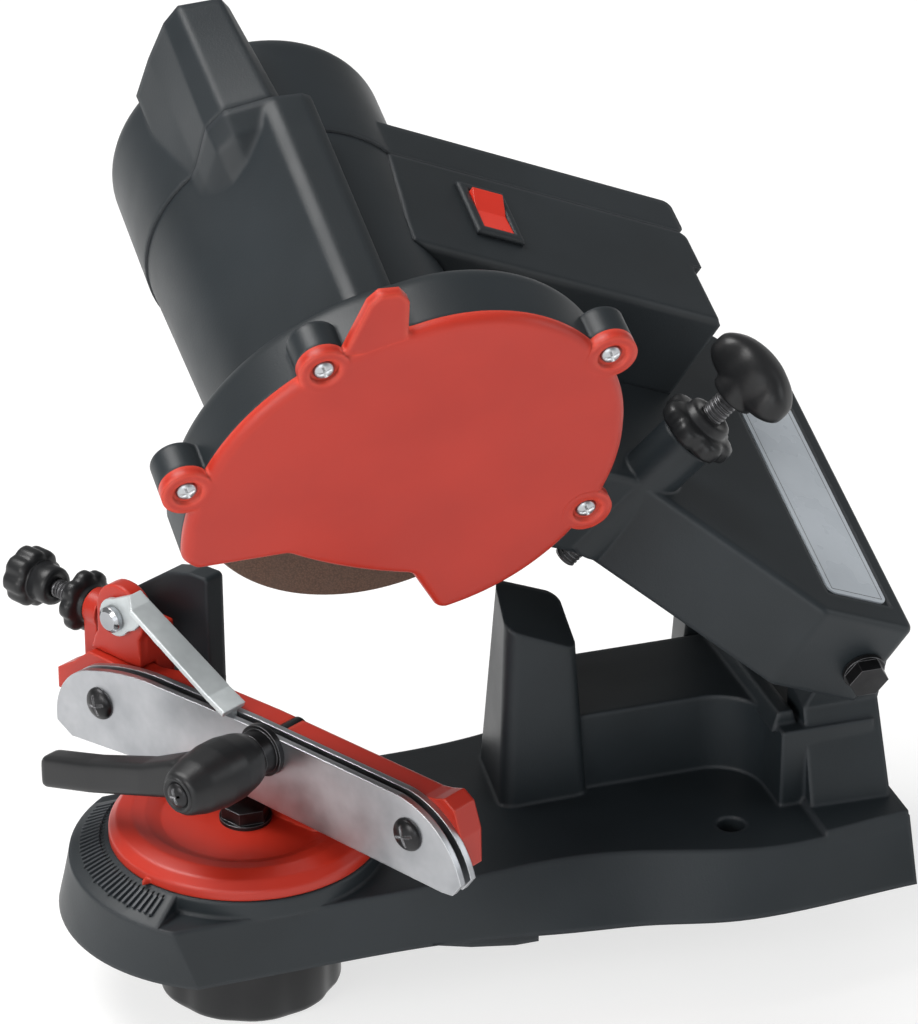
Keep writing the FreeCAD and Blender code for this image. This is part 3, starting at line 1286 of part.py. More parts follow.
NODES = {
    "base_casting": base_casting,
    "hinge_bolt": hinge_bolt,
    "hinge_nut": hinge_nut,
    "return_spring": return_spring,
    "turntable_disc": turntable_disc,
    "turntable_bolt": turntable_bolt,
    "lock_knob": lock_knob,
    "vise_bar": vise_bar,
    "front_jaw_plate": front_jaw_plate,
    "rear_jaw_plate": rear_jaw_plate,
    "jaw_screws": jaw_screws,
    "jaw_spacers": jaw_spacers,
    "clamp_stud": clamp_stud,
    "clamp_washer": clamp_washer,
    "clamp_lever": clamp_lever,
    "lever_screw": lever_screw,
    "pawl_slider": pawl_slider,
    "pawl_pin": pawl_pin,
    "pawl": pawl,
    "adjust_screw": adjust_screw,
    "adjust_knob": adjust_knob,
    "lock_nut_knob": lock_nut_knob,
    "chip_shield": chip_shield,
    "arm_housing": arm_housing,
    "arm_base_cover": arm_base_cover,
    "label_plate": label_plate,
    "switch_box": switch_box,
    "switch_bezel": switch_bezel,
    "switch_body": switch_body,
    "switch_rocker": switch_rocker,
    "depth_rod": depth_rod,
    "depth_knob": depth_knob,
    "depth_lock_nut": depth_lock_nut,
    "guard_back": guard_back,
    "guard_cover": guard_cover,
    "guard_screws": guard_screws,
    "grinding_wheel": grinding_wheel,
    "inner_flange": inner_flange,
    "outer_flange": outer_flange,
    "arbor_nut": arbor_nut,
    "motor_housing": motor_housing,
    "rear_shell": rear_shell,
    "stator": stator,
    "rotor_core": rotor_core,
    "commutator": commutator,
    "brush_holders": brush_holders,
    "rotor_shaft": rotor_shaft,
    "shaft_bearings": shaft_bearings,
    "shell_screws": shell_screws,
    "cord_gland": cord_gland,
    "motor_fan": motor_fan,
}


def write_parts():
    os.makedirs("parts", exist_ok=True)
    for node, make in NODES.items():
        shape = make()
        shape.translate(V(-(HOLE_NEAR_X + HOLE_FAR_X) / 2, -HOLE_Y, 0))
        shape.exportStep("parts/" + node + ".step")
        print(node, "solids", len(shape.Solids), "valid", shape.isValid(),
              "volume %.0f" % shape.Volume)


write_parts()
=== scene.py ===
import json
import math

import bmesh
import bpy
from mathutils import Matrix, Vector


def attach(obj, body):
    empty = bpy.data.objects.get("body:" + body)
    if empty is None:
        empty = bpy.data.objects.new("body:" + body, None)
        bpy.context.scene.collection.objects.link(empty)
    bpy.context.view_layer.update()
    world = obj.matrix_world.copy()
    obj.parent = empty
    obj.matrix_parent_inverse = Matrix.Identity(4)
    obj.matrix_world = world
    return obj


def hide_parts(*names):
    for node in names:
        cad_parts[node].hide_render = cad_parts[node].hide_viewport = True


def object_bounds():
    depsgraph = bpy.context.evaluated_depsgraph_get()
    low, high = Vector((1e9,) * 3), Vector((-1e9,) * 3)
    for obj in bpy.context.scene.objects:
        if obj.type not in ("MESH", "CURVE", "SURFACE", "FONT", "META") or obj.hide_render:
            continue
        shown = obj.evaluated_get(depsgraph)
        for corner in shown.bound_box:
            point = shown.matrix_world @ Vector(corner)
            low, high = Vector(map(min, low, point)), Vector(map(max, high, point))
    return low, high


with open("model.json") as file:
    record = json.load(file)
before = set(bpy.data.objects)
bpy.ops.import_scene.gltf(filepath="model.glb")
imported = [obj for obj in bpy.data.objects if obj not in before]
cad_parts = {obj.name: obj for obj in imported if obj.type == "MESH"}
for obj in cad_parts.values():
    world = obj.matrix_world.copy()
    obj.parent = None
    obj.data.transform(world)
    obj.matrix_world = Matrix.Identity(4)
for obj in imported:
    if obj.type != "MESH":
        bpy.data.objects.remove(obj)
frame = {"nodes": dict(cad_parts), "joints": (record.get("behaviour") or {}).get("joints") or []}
nodes = frame["nodes"]
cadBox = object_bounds()
print("frame loaded:", len(nodes), "solids")


# places that several pieces share: the functions take millimetres and give places in metres
def jointNamed(name):
    return next(j for j in frame["joints"] if j["name"] == name)


def axisOf(name):
    return Vector(jointNamed(name)["axis"]).normalized()


def placeOf(name):
    return Vector(jointNamed(name)["pos_m"])


mm = 0.001
upward = Vector((0, 0, 1))
lengthwise = Vector((0, 1, 0))
wheelAxis = axisOf("wheel_spin")
headUp = wheelAxis.cross(lengthwise)
headTilt = math.atan2(-wheelAxis.z, wheelAxis.x)
rodAxis = axisOf("depth_slide")
rodSide = rodAxis.cross(wheelAxis)
viseAcross = axisOf("pawl_slide")  # along the jaws
viseInto = upward.cross(viseAcross)  # from the operator through the jaws
viseTurn = math.atan2(viseAcross.y, viseAcross.x)
viseMiddle = placeOf("turntable_yaw")
wheelPlace = (-23, 33, 160)  # the wheel's middle, as inHead counts
armRise = math.radians(26)
rodJointPlace = 84  # where depth_turn stands, as onRod counts
threadDepth = 0.35
threadPitch = 1.25
knobSides = 128


def inVise(s, y, z):
    return viseMiddle + (viseAcross * s + viseInto * y + upward * z) * mm


def onPawlScrew(s):
    return inVise(s, 17, 66.5)


def onLeverHub(y):
    return inVise(12, -40 + y, 60)


def inHead(a, b, c):
    wheelA, wheelB, wheelC = wheelPlace
    away = wheelAxis * (a - wheelA) + headUp * (c - wheelC) + lengthwise * (b - wheelB)
    return placeOf("wheel_spin") + away * mm


def roundWheel(a, b, c):
    # a counts as in inHead, b and c count from the wheel's middle
    return inHead(a, wheelPlace[1] + b, wheelPlace[2] + c)


def inArm(a, u, m):
    return inHead(a, u * math.cos(armRise) + m * math.sin(armRise),
                  m * math.cos(armRise) - u * math.sin(armRise))


def onRod(along):
    return placeOf("depth_turn") + rodAxis * (along - rodJointPlace) * mm


# node helpers that the materials and the geometry trees share
def startMaterial(name):
    mat = bpy.data.materials.new(name)
    mat.use_nodes = True
    tree = mat.node_tree
    tree.nodes.clear()
    out = tree.nodes.new("ShaderNodeOutputMaterial")
    shader = tree.nodes.new("ShaderNodeBsdfPrincipled")
    tree.links.new(shader.outputs["BSDF"], out.inputs["Surface"])
    return mat, tree, shader


def fill(tree, node, inputs):
    # an input takes a value, a link from a socket, or a list of links
    for key, given in inputs.items():
        for item in given if isinstance(given, list) else [given]:
            if isinstance(item, bpy.types.NodeSocket):
                tree.links.new(item, node.inputs[key])
            else:
                node.inputs[key].default_value = item


def addNode(tree, kind, inputs=None, **settings):
    node = tree.nodes.new(kind)
    for key, value in settings.items():
        setattr(node, key, value)
    fill(tree, node, inputs or {})
    return node


def firstOf(tree, kind, inputs=None, **settings):
    # the first thing that a node of this kind gives out
    return addNode(tree, kind, inputs, **settings).outputs[0]


def maths(tree, operation, *terms):
    return firstOf(tree, "ShaderNodeMath", dict(enumerate(terms)), operation=operation)


def objectCoords(tree, turn=(0, 0, 0), stretch=(1, 1, 1)):
    coords = addNode(tree, "ShaderNodeTexCoord").outputs["Object"]
    return firstOf(tree, "ShaderNodeMapping", {"Vector": coords, "Rotation": turn, "Scale": stretch})


def noise(tree, vector, scale, detail=2.0, rough=0.5):
    node = addNode(tree, "ShaderNodeTexNoise", {"Vector": vector, "Scale": scale, "Detail": detail,
                                                "Roughness": rough})
    return node.outputs["Fac"]


def cells(tree, vector, scale):
    return addNode(tree, "ShaderNodeTexVoronoi", {"Vector": vector, "Scale": scale}).outputs["Distance"]


def mapped(tree, value, fromLow, fromHigh, toLow=0.0, toHigh=1.0):
    return firstOf(tree, "ShaderNodeMapRange", {"Value": value, "From Min": fromLow, "From Max": fromHigh,
                                                "To Min": toLow, "To Max": toHigh})


def mixed(tree, factor, first, second):
    # inputs 6 and 7 are the two colours and output 2 is the mixed one
    first, second = ((*c, 1.0) if isinstance(c, tuple) else c for c in (first, second))
    node = addNode(tree, "ShaderNodeMix", {"Factor": factor, 6: first, 7: second}, data_type="RGBA")
    return node.outputs[2]


def softEdge(tree, radius):
    # the moulded radius along an edge, and a mask that is 1 on it
    bevel = firstOf(tree, "ShaderNodeBevel", {"Radius": radius}, samples=6)
    flat = addNode(tree, "ShaderNodeNewGeometry").outputs["True Normal"]
    dot = addNode(tree, "ShaderNodeVectorMath", {0: bevel, 1: flat}, operation="DOT_PRODUCT")
    return bevel, mapped(tree, dot.outputs["Value"], 0.995, 0.8)


def bump(tree, height, strength, distance, normal=None):
    inputs = {"Height": height, "Strength": strength, "Distance": distance}
    if normal is not None:
        inputs["Normal"] = normal
    return firstOf(tree, "ShaderNodeBump", inputs)


def mouldedPlastic(name, look):
    mat, tree, shader = startMaterial(name)
    where = objectCoords(tree)
    edgeNormal, edge = softEdge(tree, look["edge"])
    cloud = noise(tree, where, look["cloud"], 3.0)
    grain = noise(tree, where, look["grain"], 2.0, 0.6)
    flow = noise(tree, objectCoords(tree, stretch=(1, 0.35, 1)), 34.0, 4.0)
    body = mixed(tree, mapped(tree, cloud, 0.35, 0.65), look["dark"], look["light"])
    # a lighter colour painted along the edges: a painted highlight where the rounded moulded edge would catch
    # the light
    paintedHighlight = maths(tree, "MULTIPLY", edge, look["highlightAmount"])
    low, high = look["rough"] - look["spread"], look["rough"] + look["spread"]
    fill(tree, shader, {"Base Color": mixed(tree, paintedHighlight, body, look["edgeHighlight"]),
                        "Roughness": mapped(tree, flow, 0.3, 0.7, low, high),
                        "Specular IOR Level": look["shine"],
                        "Normal": bump(tree, grain, look["bump"], 0.00012, edgeNormal)})
    return mat


# in each look the edge colour and its amount give the painted highlight along the edges
charcoal = {"edge": 1.4 * mm, "cloud": 22.0, "grain": 1500.0, "dark": (0.0110, 0.0150, 0.0178),
            "light": (0.0152, 0.0202, 0.0240), "edgeHighlight": (0.048, 0.054, 0.062), "highlightAmount": 0.5, "rough": 0.45,
            "spread": 0.05, "shine": 0.36, "bump": 0.32}
warmRed = {"edge": 1.1 * mm, "cloud": 30.0, "grain": 900.0, "dark": (0.385, 0.019, 0.008),
           "light": (0.43, 0.023, 0.010), "edgeHighlight": (0.72, 0.075, 0.04), "highlightAmount": 0.6, "rough": 0.38,
           "spread": 0.05, "shine": 0.42, "bump": 0.10}

basePlastic = mouldedPlastic("charcoal moulded base", dict(charcoal, edge=2.2 * mm))
shellPlastic = mouldedPlastic("charcoal moulded shell", dict(charcoal, edge=1.8 * mm))
gripPlastic = mouldedPlastic("charcoal motor shell", dict(charcoal, edge=3.0 * mm, rough=0.44))
knobPlastic = mouldedPlastic("black knob plastic", dict(charcoal, edge=0.9 * mm, rough=0.38, bump=0.2,
                                                        dark=(0.009, 0.0095, 0.0105),
                                                        light=(0.014, 0.0145, 0.0155),
                                                        edgeHighlight=(0.035, 0.036, 0.039)))
# the cover gets a wide painted highlight band, 3.2 mm deep, in a light red along its rounded rim
coverPlastic = mouldedPlastic("red moulded cover", dict(warmRed, edge=3.2 * mm, highlightAmount=0.95,
                                                        edgeHighlight=(0.78, 0.075, 0.042)))
# the rib edges carry the painted edge highlight at full amount
scalePlastic = mouldedPlastic("charcoal scale ribs", dict(charcoal, edge=0.15 * mm, highlightAmount=1.0,
                                                          light=(0.05, 0.056, 0.064)))
redPlastic = mouldedPlastic("red moulded plastic", warmRed)
rockerPlastic = mouldedPlastic("red rocker plastic", dict(warmRed, edge=0.5 * mm, rough=0.26, bump=0.03,
                                                          dark=(0.72, 0.03, 0.014),
                                                          light=(0.78, 0.036, 0.016)))


def zincPlate(name, look):
    mat, tree, shader = startMaterial(name)
    where = objectCoords(tree)
    edgeNormal, edge = softEdge(tree, look["edge"])
    streaks = noise(tree, objectCoords(tree, (0, 0, -viseTurn), look["stretch"]), 60.0, 5.0, 0.6)
    cloud = noise(tree, where, 38.0, 4.0, 0.55)
    tone = mixed(tree, mapped(tree, cloud, 0.35, 0.65), look["dark"], look["light"])
    fleck = mapped(tree, cells(tree, where, 420.0), 0.0, 0.9, 0.0, 0.10)
    tone = mixed(tree, fleck, tone, (0.28, 0.29, 0.30))
    # a near-white colour painted along the edges as a highlight
    tone = mixed(tree, maths(tree, "MULTIPLY", edge, 0.7), tone, (0.85, 0.86, 0.88))
    low, high = look["rough"] - 0.07, look["rough"] + 0.07
    fill(tree, shader, {"Base Color": tone, "Metallic": look.get("metal", 1.0),
                        "Roughness": mapped(tree, cloud, 0.3, 0.7, low, high),
                        "Normal": bump(tree, streaks, look["brush"], 0.00008, edgeNormal)})
    return mat


platedSteel = zincPlate("zinc plated plate", {"edge": 0.5 * mm, "stretch": (0.12, 4.0, 3.0), "rough": 0.36,
                                              "dark": (0.36, 0.37, 0.39), "light": (0.54, 0.55, 0.57),
                                              "brush": 0.35})
brightSteel = zincPlate("bright steel", {"edge": 0.35 * mm, "stretch": (1.0, 1.0, 1.0), "rough": 0.24,
                                         "dark": (0.36, 0.37, 0.39), "light": (0.52, 0.53, 0.55),
                                         "brush": 0.12})
machinedSteel = zincPlate("machined steel", {"edge": 0.4 * mm, "stretch": (3.0, 0.3, 0.3), "rough": 0.30,
                                             "dark": (0.40, 0.41, 0.43), "light": (0.52, 0.53, 0.55),
                                             "brush": 0.3})
stripSteel = zincPlate("zinc plated strip", {"edge": 0.35 * mm, "stretch": (1.0, 1.0, 1.0), "rough": 0.46,
                                            "dark": (0.50, 0.54, 0.55), "light": (0.66, 0.70, 0.71),
                                            "brush": 0.12, "metal": 0.62})
springSteel = zincPlate("spring wire", {"edge": 0.2 * mm, "stretch": (1.0, 1.0, 1.0), "rough": 0.3,
                                        "dark": (0.36, 0.36, 0.37), "light": (0.48, 0.48, 0.49),
                                        "brush": 0.1})


def blackOxide(name):
    mat, tree, shader = startMaterial(name)
    where = objectCoords(tree)
    edgeNormal, edge = softEdge(tree, 0.4 * mm)
    cloud = noise(tree, where, 140.0, 4.0)
    tone = mixed(tree, mapped(tree, cloud, 0.3, 0.7), (0.016, 0.016, 0.017), (0.035, 0.035, 0.037))
    tone = mixed(tree, maths(tree, "MULTIPLY", edge, 0.75), tone, (0.22, 0.22, 0.23))
    fine = bump(tree, noise(tree, where, 2600.0), 0.15, 0.00005, edgeNormal)
    fill(tree, shader, {"Base Color": tone, "Metallic": 0.75, "Normal": fine,
                        "Roughness": mapped(tree, cloud, 0.3, 0.7, 0.28, 0.42)})
    return mat


blackSteel = blackOxide("black oxide steel")


def bondedGrit(name):
    mat, tree, shader = startMaterial(name)
    where = objectCoords(tree)
    grit = cells(tree, where, 1500.0)
    specks = cells(tree, where, 2600.0)
    cloud = noise(tree, where, 90.0, 3.0)
    tone = mixed(tree, mapped(tree, grit, 0.1, 0.8), (0.125, 0.066, 0.043), (0.064, 0.034, 0.023))
    tone = mixed(tree, mapped(tree, cloud, 0.35, 0.65, 0.0, 0.4), tone, (0.085, 0.052, 0.038))
    tone = mixed(tree, mapped(tree, specks, 0.0, 0.16, 0.75, 0.0), tone, (0.26, 0.175, 0.13))
    fill(tree, shader, {"Base Color": tone, "Roughness": 0.88, "Normal": bump(tree, grit, 0.8, 0.0002)})
    return mat


gritWheel = bondedGrit("bonded grit wheel")


def turnedBrass(name):
    mat, tree, shader = startMaterial(name)
    streaks = noise(tree, objectCoords(tree, (0, -headTilt, 0), (40.0, 0.4, 0.4)), 60.0, 4.0)
    tone = mixed(tree, mapped(tree, streaks, 0.3, 0.7), (0.55, 0.33, 0.13), (0.72, 0.47, 0.21))
    fill(tree, shader, {"Base Color": tone, "Metallic": 1.0, "Roughness": 0.3,
                        "Normal": bump(tree, streaks, 0.25, 0.00006)})
    return mat


brassTurned = turnedBrass("turned brass")


def softRubber(name):
    mat, tree, shader = startMaterial(name)
    where = objectCoords(tree)
    cloud = noise(tree, where, 60.0, 3.0)
    tone = mixed(tree, mapped(tree, cloud, 0.3, 0.7), (0.012, 0.012, 0.012), (0.022, 0.022, 0.023))
    fill(tree, shader, {"Base Color": tone, "Roughness": 0.72,
                        "Normal": bump(tree, noise(tree, where, 1800.0), 0.3, 0.0001)})
    return mat


blackRubber = softRubber("black rubber")

finishOf = {
    basePlastic: ["base_casting"],
    shellPlastic: ["arm_housing", "arm_base_cover", "switch_box", "guard_back", "chip_shield",
                   "switch_bezel", "switch_body", "motor_fan"],
    gripPlastic: ["motor_housing", "rear_shell"],
    knobPlastic: ["lock_knob", "clamp_lever", "adjust_knob", "lock_nut_knob", "depth_knob",
                  "depth_lock_nut"],
    coverPlastic: ["guard_cover"],
    redPlastic: ["turntable_disc", "vise_bar", "pawl_slider"],
    rockerPlastic: ["switch_rocker"],
    platedSteel: ["front_jaw_plate", "rear_jaw_plate"],
    stripSteel: ["pawl"],
    brightSteel: ["pawl_pin", "guard_screws", "jaw_spacers", "arbor_nut"],
    machinedSteel: ["inner_flange", "outer_flange", "stator", "rotor_core", "rotor_shaft",
                    "shaft_bearings"],
    springSteel: ["return_spring"],
    blackSteel: ["hinge_bolt", "hinge_nut", "turntable_bolt", "jaw_screws", "clamp_stud",
                 "clamp_washer", "lever_screw", "adjust_screw", "depth_rod", "shell_screws"],
    gritWheel: ["grinding_wheel"],
    brassTurned: ["commutator", "brush_holders"],
    blackRubber: ["cord_gland"],
}
for finish, names in finishOf.items():
    for name in names:
        nodes[name].data.materials.clear()
        nodes[name].data.materials.append(finish)
print("materials made")


# ways of making the pieces that stand for plain solids
def addObject(name, data):
    thing = bpy.data.objects.new(name, data)
    bpy.context.scene.collection.objects.link(thing)
    return thing


def newPiece(name, mesh, material, body, solids, smooth=True):
    mesh.materials.clear()
    mesh.materials.append(material)
    piece = addObject(name, mesh)
    for face in mesh.polygons:
        face.use_smooth = smooth
    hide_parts(*solids)
    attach(piece, body)


def meshOf(build, name):
    mesh = bpy.data.meshes.new(name)
    build.to_mesh(mesh)
    build.free()
    return mesh


def bakedMesh(holder):
    # the mesh that the holder's modifiers make of it; the holder itself goes
    mesh = bpy.data.meshes.new_from_object(holder.evaluated_get(bpy.context.evaluated_depsgraph_get()))
    bpy.data.objects.remove(holder)
    return mesh


def ringMesh(name, shells):
    # each shell is a list of closed rings of equal count, shut at both ends
    build = bmesh.new()
    for rings in shells:
        rows = [[build.verts.new(point) for point in ring] for ring in rings]
        count = len(rows[0])
        for low, high in zip(rows, rows[1:]):
            for k in range(count):
                build.faces.new((low[k], low[(k + 1) % count], high[(k + 1) % count], high[k]))
        for row in (rows[0], rows[-1]):
            middle = build.verts.new(sum((v.co for v in row), Vector()) / count)
            for k in range(count):
                build.faces.new((row[k], row[(k + 1) % count], middle))
    bmesh.ops.recalc_face_normals(build, faces=build.faces)
    return meshOf(build, name)


def fused(mesh, voxel, softness):
    # one skin over shells that run into each other, with soft moulded corners
    holder = addObject("fusing", mesh)
    remesh = holder.modifiers.new("skin", "REMESH")
    remesh.mode = "VOXEL"
    remesh.voxel_size = voxel * mm
    smooth = holder.modifiers.new("soft", "SMOOTH")
    smooth.factor = 0.5
    smooth.iterations = softness
    return bakedMesh(holder)


def mergedCopy(node):
    build = bmesh.new()
    build.from_mesh(nodes[node].data)
    weldGap = 0.000005
    bmesh.ops.remove_doubles(build, verts=build.verts, dist=weldGap)
    return meshOf(build, node + "_copy")


def circleRing(centre, radius, first, second, count, lobes=0, dent=0.0):
    ring = []
    for k in range(count):
        angle = 2 * math.pi * k / count
        hollow = dent * (0.5 - 0.5 * math.cos(lobes * angle)) ** 2 if lobes else 0.0
        reach = (radius - hollow) * mm
        ring.append(centre + first * (reach * math.cos(angle)) + second * (reach * math.sin(angle)))
    return ring


def roundedRing(centre, halfFirst, halfSecond, first, second, power=4.0, count=40):
    ring = []
    for k in range(count):
        angle = 2 * math.pi * k / count
        x = math.copysign(abs(math.cos(angle)) ** (2 / power), math.cos(angle)) * halfFirst * mm
        y = math.copysign(abs(math.sin(angle)) ** (2 / power), math.sin(angle)) * halfSecond * mm
        ring.append(centre + first * x + second * y)
    return ring


# geometry node trees
def startTree(name, inputs):
    tree = bpy.data.node_groups.new(name, "GeometryNodeTree")
    tree.interface.new_socket("Geometry", in_out="INPUT", socket_type="NodeSocketGeometry")
    for label, (kind, value) in inputs.items():
        socket = tree.interface.new_socket(label, in_out="INPUT", socket_type=kind)
        if value is not None:
            socket.default_value = value
    tree.interface.new_socket("Geometry", in_out="OUTPUT", socket_type="NodeSocketGeometry")
    return tree, tree.nodes.new("NodeGroupInput").outputs


def finishTree(tree, points, shape, turn, material):
    # a copy of the shape on every point, made real and given its material
    spread = firstOf(tree, "GeometryNodeInstanceOnPoints", {0: points, "Instance": shape, "Rotation": turn})
    real = firstOf(tree, "GeometryNodeRealizeInstances", {0: spread})
    coated = firstOf(tree, "GeometryNodeSetMaterial", {0: real, "Material": material})
    addNode(tree, "NodeGroupOutput", {"Geometry": coated})
    return tree


def meshFromTree(name, points, tree, values):
    seed = bpy.data.meshes.new(name + "_points")
    seed.from_pydata([tuple(p) for p in points], [], [])
    holder = addObject(name + "_maker", seed)
    maker = holder.modifiers.new("maker", "NODES")
    maker.node_group = tree
    keys = {item.name: item.identifier for item in tree.interface.items_tree if item.in_out == "INPUT"}
    for label, value in values.items():
        maker[keys[label]] = value
    return bakedMesh(holder)


def vectorOf(tree, x, y, z):
    return firstOf(tree, "ShaderNodeCombineXYZ", {"X": x, "Y": y, "Z": z})


def moved(tree, shape, how):
    return firstOf(tree, "GeometryNodeTransform", {0: shape, **how})


def screwTree():
    sizes = {"Head Radius": ("NodeSocketFloat", 0.004), "Head Height": ("NodeSocketFloat", 0.0022),
             "Shank Radius": ("NodeSocketFloat", 0.0015), "Shank Length": ("NodeSocketFloat", 0.008),
             "Recess": ("NodeSocketFloat", 0.6), "Turn": ("NodeSocketRotation", None),
             "Finish": ("NodeSocketMaterial", None)}
    tree, size = startTree("cross head screws", sizes)
    radius, height, length = size["Head Radius"], size["Head Height"], size["Shank Length"]
    recessWide, recessDeep, recessTurn = 0.00075, 0.0016, 0.35
    ball = firstOf(tree, "GeometryNodeMeshUVSphere", {"Segments": 32, "Rings": 16, "Radius": 1.0})
    dome = moved(tree, ball, {"Scale": vectorOf(tree, radius, radius, height)})
    block = firstOf(tree, "GeometryNodeMeshCube", {"Size": (0.03, 0.03, 0.02)})
    lowerHalf = moved(tree, block, {"Translation": (0, 0, -0.01)})
    reach = maths(tree, "MULTIPLY", maths(tree, "MULTIPLY", radius, size["Recess"]), 2.0)
    slot = firstOf(tree, "GeometryNodeMeshCube", {"Size": vectorOf(tree, reach, recessWide, recessDeep)})
    top = vectorOf(tree, 0.0, 0.0, height)
    cross = [moved(tree, slot, {"Rotation": (0, 0, turn), "Translation": top})
             for turn in (recessTurn, recessTurn + math.pi / 2)]
    head = firstOf(tree, "GeometryNodeMeshBoolean", {"Mesh 1": dome, "Mesh 2": [lowerHalf] + cross},
                   operation="DIFFERENCE")
    shank = firstOf(tree, "GeometryNodeMeshCylinder",
                    {"Vertices": 20, "Radius": size["Shank Radius"], "Depth": length})
    hung = moved(tree, shank,
                 {"Translation": vectorOf(tree, 0.0, 0.0, maths(tree, "MULTIPLY", length, -0.5))})
    screw = firstOf(tree, "GeometryNodeJoinGeometry", {0: [head, hung]})
    return finishTree(tree, size["Geometry"], screw, size["Turn"], size["Finish"])


screws = screwTree()


def screwSet(name, points, outward, look, material, body, solids):
    values = {"Head Radius": look["head"] * mm, "Head Height": look["height"] * mm,
              "Shank Radius": look["shank"] * mm, "Shank Length": look["length"] * mm,
              "Recess": look["recess"], "Turn": outward.to_track_quat("Z", "Y").to_euler(),
              "Finish": material}
    newPiece(name, meshFromTree(name, points, screws, values), material, body, solids)


coverScrews = {"head": 3.2, "height": 1.8, "shank": 1.5, "length": 8.0, "recess": 0.62}
screwSet("cover_screws", [roundWheel(-6.5, b, c) for b, c in
                          ((-60.8, 15.5), (-24, 55), (61, 45.4), (60.9, -15.6))],
         wheelAxis, coverScrews, machinedSteel, "head", ["guard_screws"])
plateScrews = {"head": 5.3, "height": 2.7, "shank": 2.0, "length": 9.0, "recess": 0.6}
screwSet("plate_screws", [inVise(-58.6, -3.3, 48.4), inVise(69.7, -3.3, 53.7)], -viseInto, plateScrews,
         blackSteel, "turntable", ["jaw_screws"])
shellScrews = {"head": 3.5, "height": 1.9, "shank": 1.4, "length": 10.0, "recess": 0.62}
screwSet("motor_screws", [roundWheel(-167, b, c) for b, c in ((33.5, 0), (-33.5, 0), (0, -33.5))],
         -wheelAxis, shellScrews, blackSteel, "head", ["shell_screws"])
print("screws set")


def threadTree():
    sizes = {"Core Radius": ("NodeSocketFloat", 0.0034), "Crest Radius": ("NodeSocketFloat", 0.00375),
             "Length": ("NodeSocketFloat", 0.088), "Pitch": ("NodeSocketFloat", 0.00125),
             "Turn": ("NodeSocketRotation", None), "Finish": ("NodeSocketMaterial", None)}
    tree, size = startTree("threaded rod", sizes)
    core, length = size["Core Radius"], size["Length"]
    spiral = firstOf(tree, "GeometryNodeCurveSpiral",
                     {"Resolution": 26, "Rotations": maths(tree, "DIVIDE", length, size["Pitch"]),
                      "Start Radius": core, "End Radius": core, "Height": length})
    ridge = firstOf(tree, "GeometryNodeCurvePrimitiveCircle",
                    {"Resolution": 5, "Radius": maths(tree, "SUBTRACT", size["Crest Radius"], core)})
    wound = firstOf(tree, "GeometryNodeCurveToMesh",
                    {"Curve": spiral, "Profile Curve": ridge, "Fill Caps": True})
    rod = firstOf(tree, "GeometryNodeMeshCylinder", {"Vertices": 32, "Radius": core, "Depth": length})
    raised = moved(tree, rod,
                   {"Translation": vectorOf(tree, 0.0, 0.0, maths(tree, "MULTIPLY", length, 0.5))})
    both = firstOf(tree, "GeometryNodeJoinGeometry", {0: [wound, raised]})
    return finishTree(tree, size["Geometry"], both, size["Turn"], size["Finish"])


threads = threadTree()


def threadedRod(name, start, along, look, body, solids):
    values = {"Core Radius": (look["radius"] - threadDepth) * mm, "Crest Radius": look["radius"] * mm,
              "Length": look["length"] * mm, "Pitch": threadPitch * mm,
              "Turn": along.to_track_quat("Z", "Y").to_euler(), "Finish": blackSteel}
    newPiece(name, meshFromTree(name, [start], threads, values), blackSteel, body, solids)


threadedRod("depth_screw", onRod(0.4), rodAxis, {"radius": 3.75, "length": 86.0}, "depth_rod_body",
            ["depth_rod"])
threadedRod("pawl_screw", onPawlScrew(-110.5), viseAcross, {"radius": 3.0, "length": 59.0},
            "adjust_screw_body", ["adjust_screw"])
print("threads cut")


def ribTree():
    # ribs in a ring about the origin, each lying on the slope of the scale band
    sizes = {"Count": ("NodeSocketInt", 33), "Step": ("NodeSocketFloat", 0.0436),
             "Start": ("NodeSocketFloat", 0.0), "Radius": ("NodeSocketFloat", 0.046),
             "Height": ("NodeSocketFloat", 0.02), "Slope": ("NodeSocketFloat", 0.4),
             "Size": ("NodeSocketVector", None), "Finish": ("NodeSocketMaterial", None)}
    tree, size = startTree("scale ribs", sizes)
    row = firstOf(tree, "GeometryNodeMeshLine", {"Offset": (0, 0, 0), "Count": size["Count"]})
    index = firstOf(tree, "GeometryNodeInputIndex")
    angle = maths(tree, "MULTIPLY_ADD", index, size["Step"], size["Start"])
    rib = firstOf(tree, "GeometryNodeMeshCube", {"Size": size["Size"]})
    placed = moved(tree, rib, {"Rotation": vectorOf(tree, 0.0, size["Slope"], 0.0),
                               "Translation": vectorOf(tree, size["Radius"], 0.0, size["Height"])})
    return finishTree(tree, row, placed, vectorOf(tree, 0.0, 0.0, angle), size["Finish"])


def scaleRibs(look):
    values = {"Count": look["count"], "Step": math.radians(look["step"]),
              "Start": math.radians(-90 - look["step"] * (look["count"] - 1) / 2),
              "Radius": look["radius"] * mm, "Height": look["height"] * mm,
              "Slope": math.radians(look["slope"]), "Size": [side * mm for side in look["size"]],
              "Finish": scalePlastic}
    mesh = meshFromTree("scale", [(0, 0, 0)], ribTree(), values)
    mesh.transform(Matrix.Translation(Vector((viseMiddle.x, viseMiddle.y, 0))))
    newPiece("scale_ribs", mesh, scalePlastic, "base", [], smooth=False)


scaleRibs({"count": 33, "step": 2.5, "radius": 47.2, "height": 23.35, "slope": 24.2,
           "size": (6.6, 0.8, 1.0)})


def starKnob(name, middle, along, first, look, body, solids):
    second = along.cross(first)
    rings = [circleRing(middle + along * (at * mm), radius, first, second, knobSides, look["lobes"],
                        look["dent"] * share) for at, radius, share in look["profile"]]
    top = look["profile"][-1][0]
    for at in (top, top - look["deep"]):
        rings.append(circleRing(middle + along * (at * mm), look["bore"], first, second, knobSides))
    newPiece(name, ringMesh(name, [rings]), knobPlastic, body, solids)


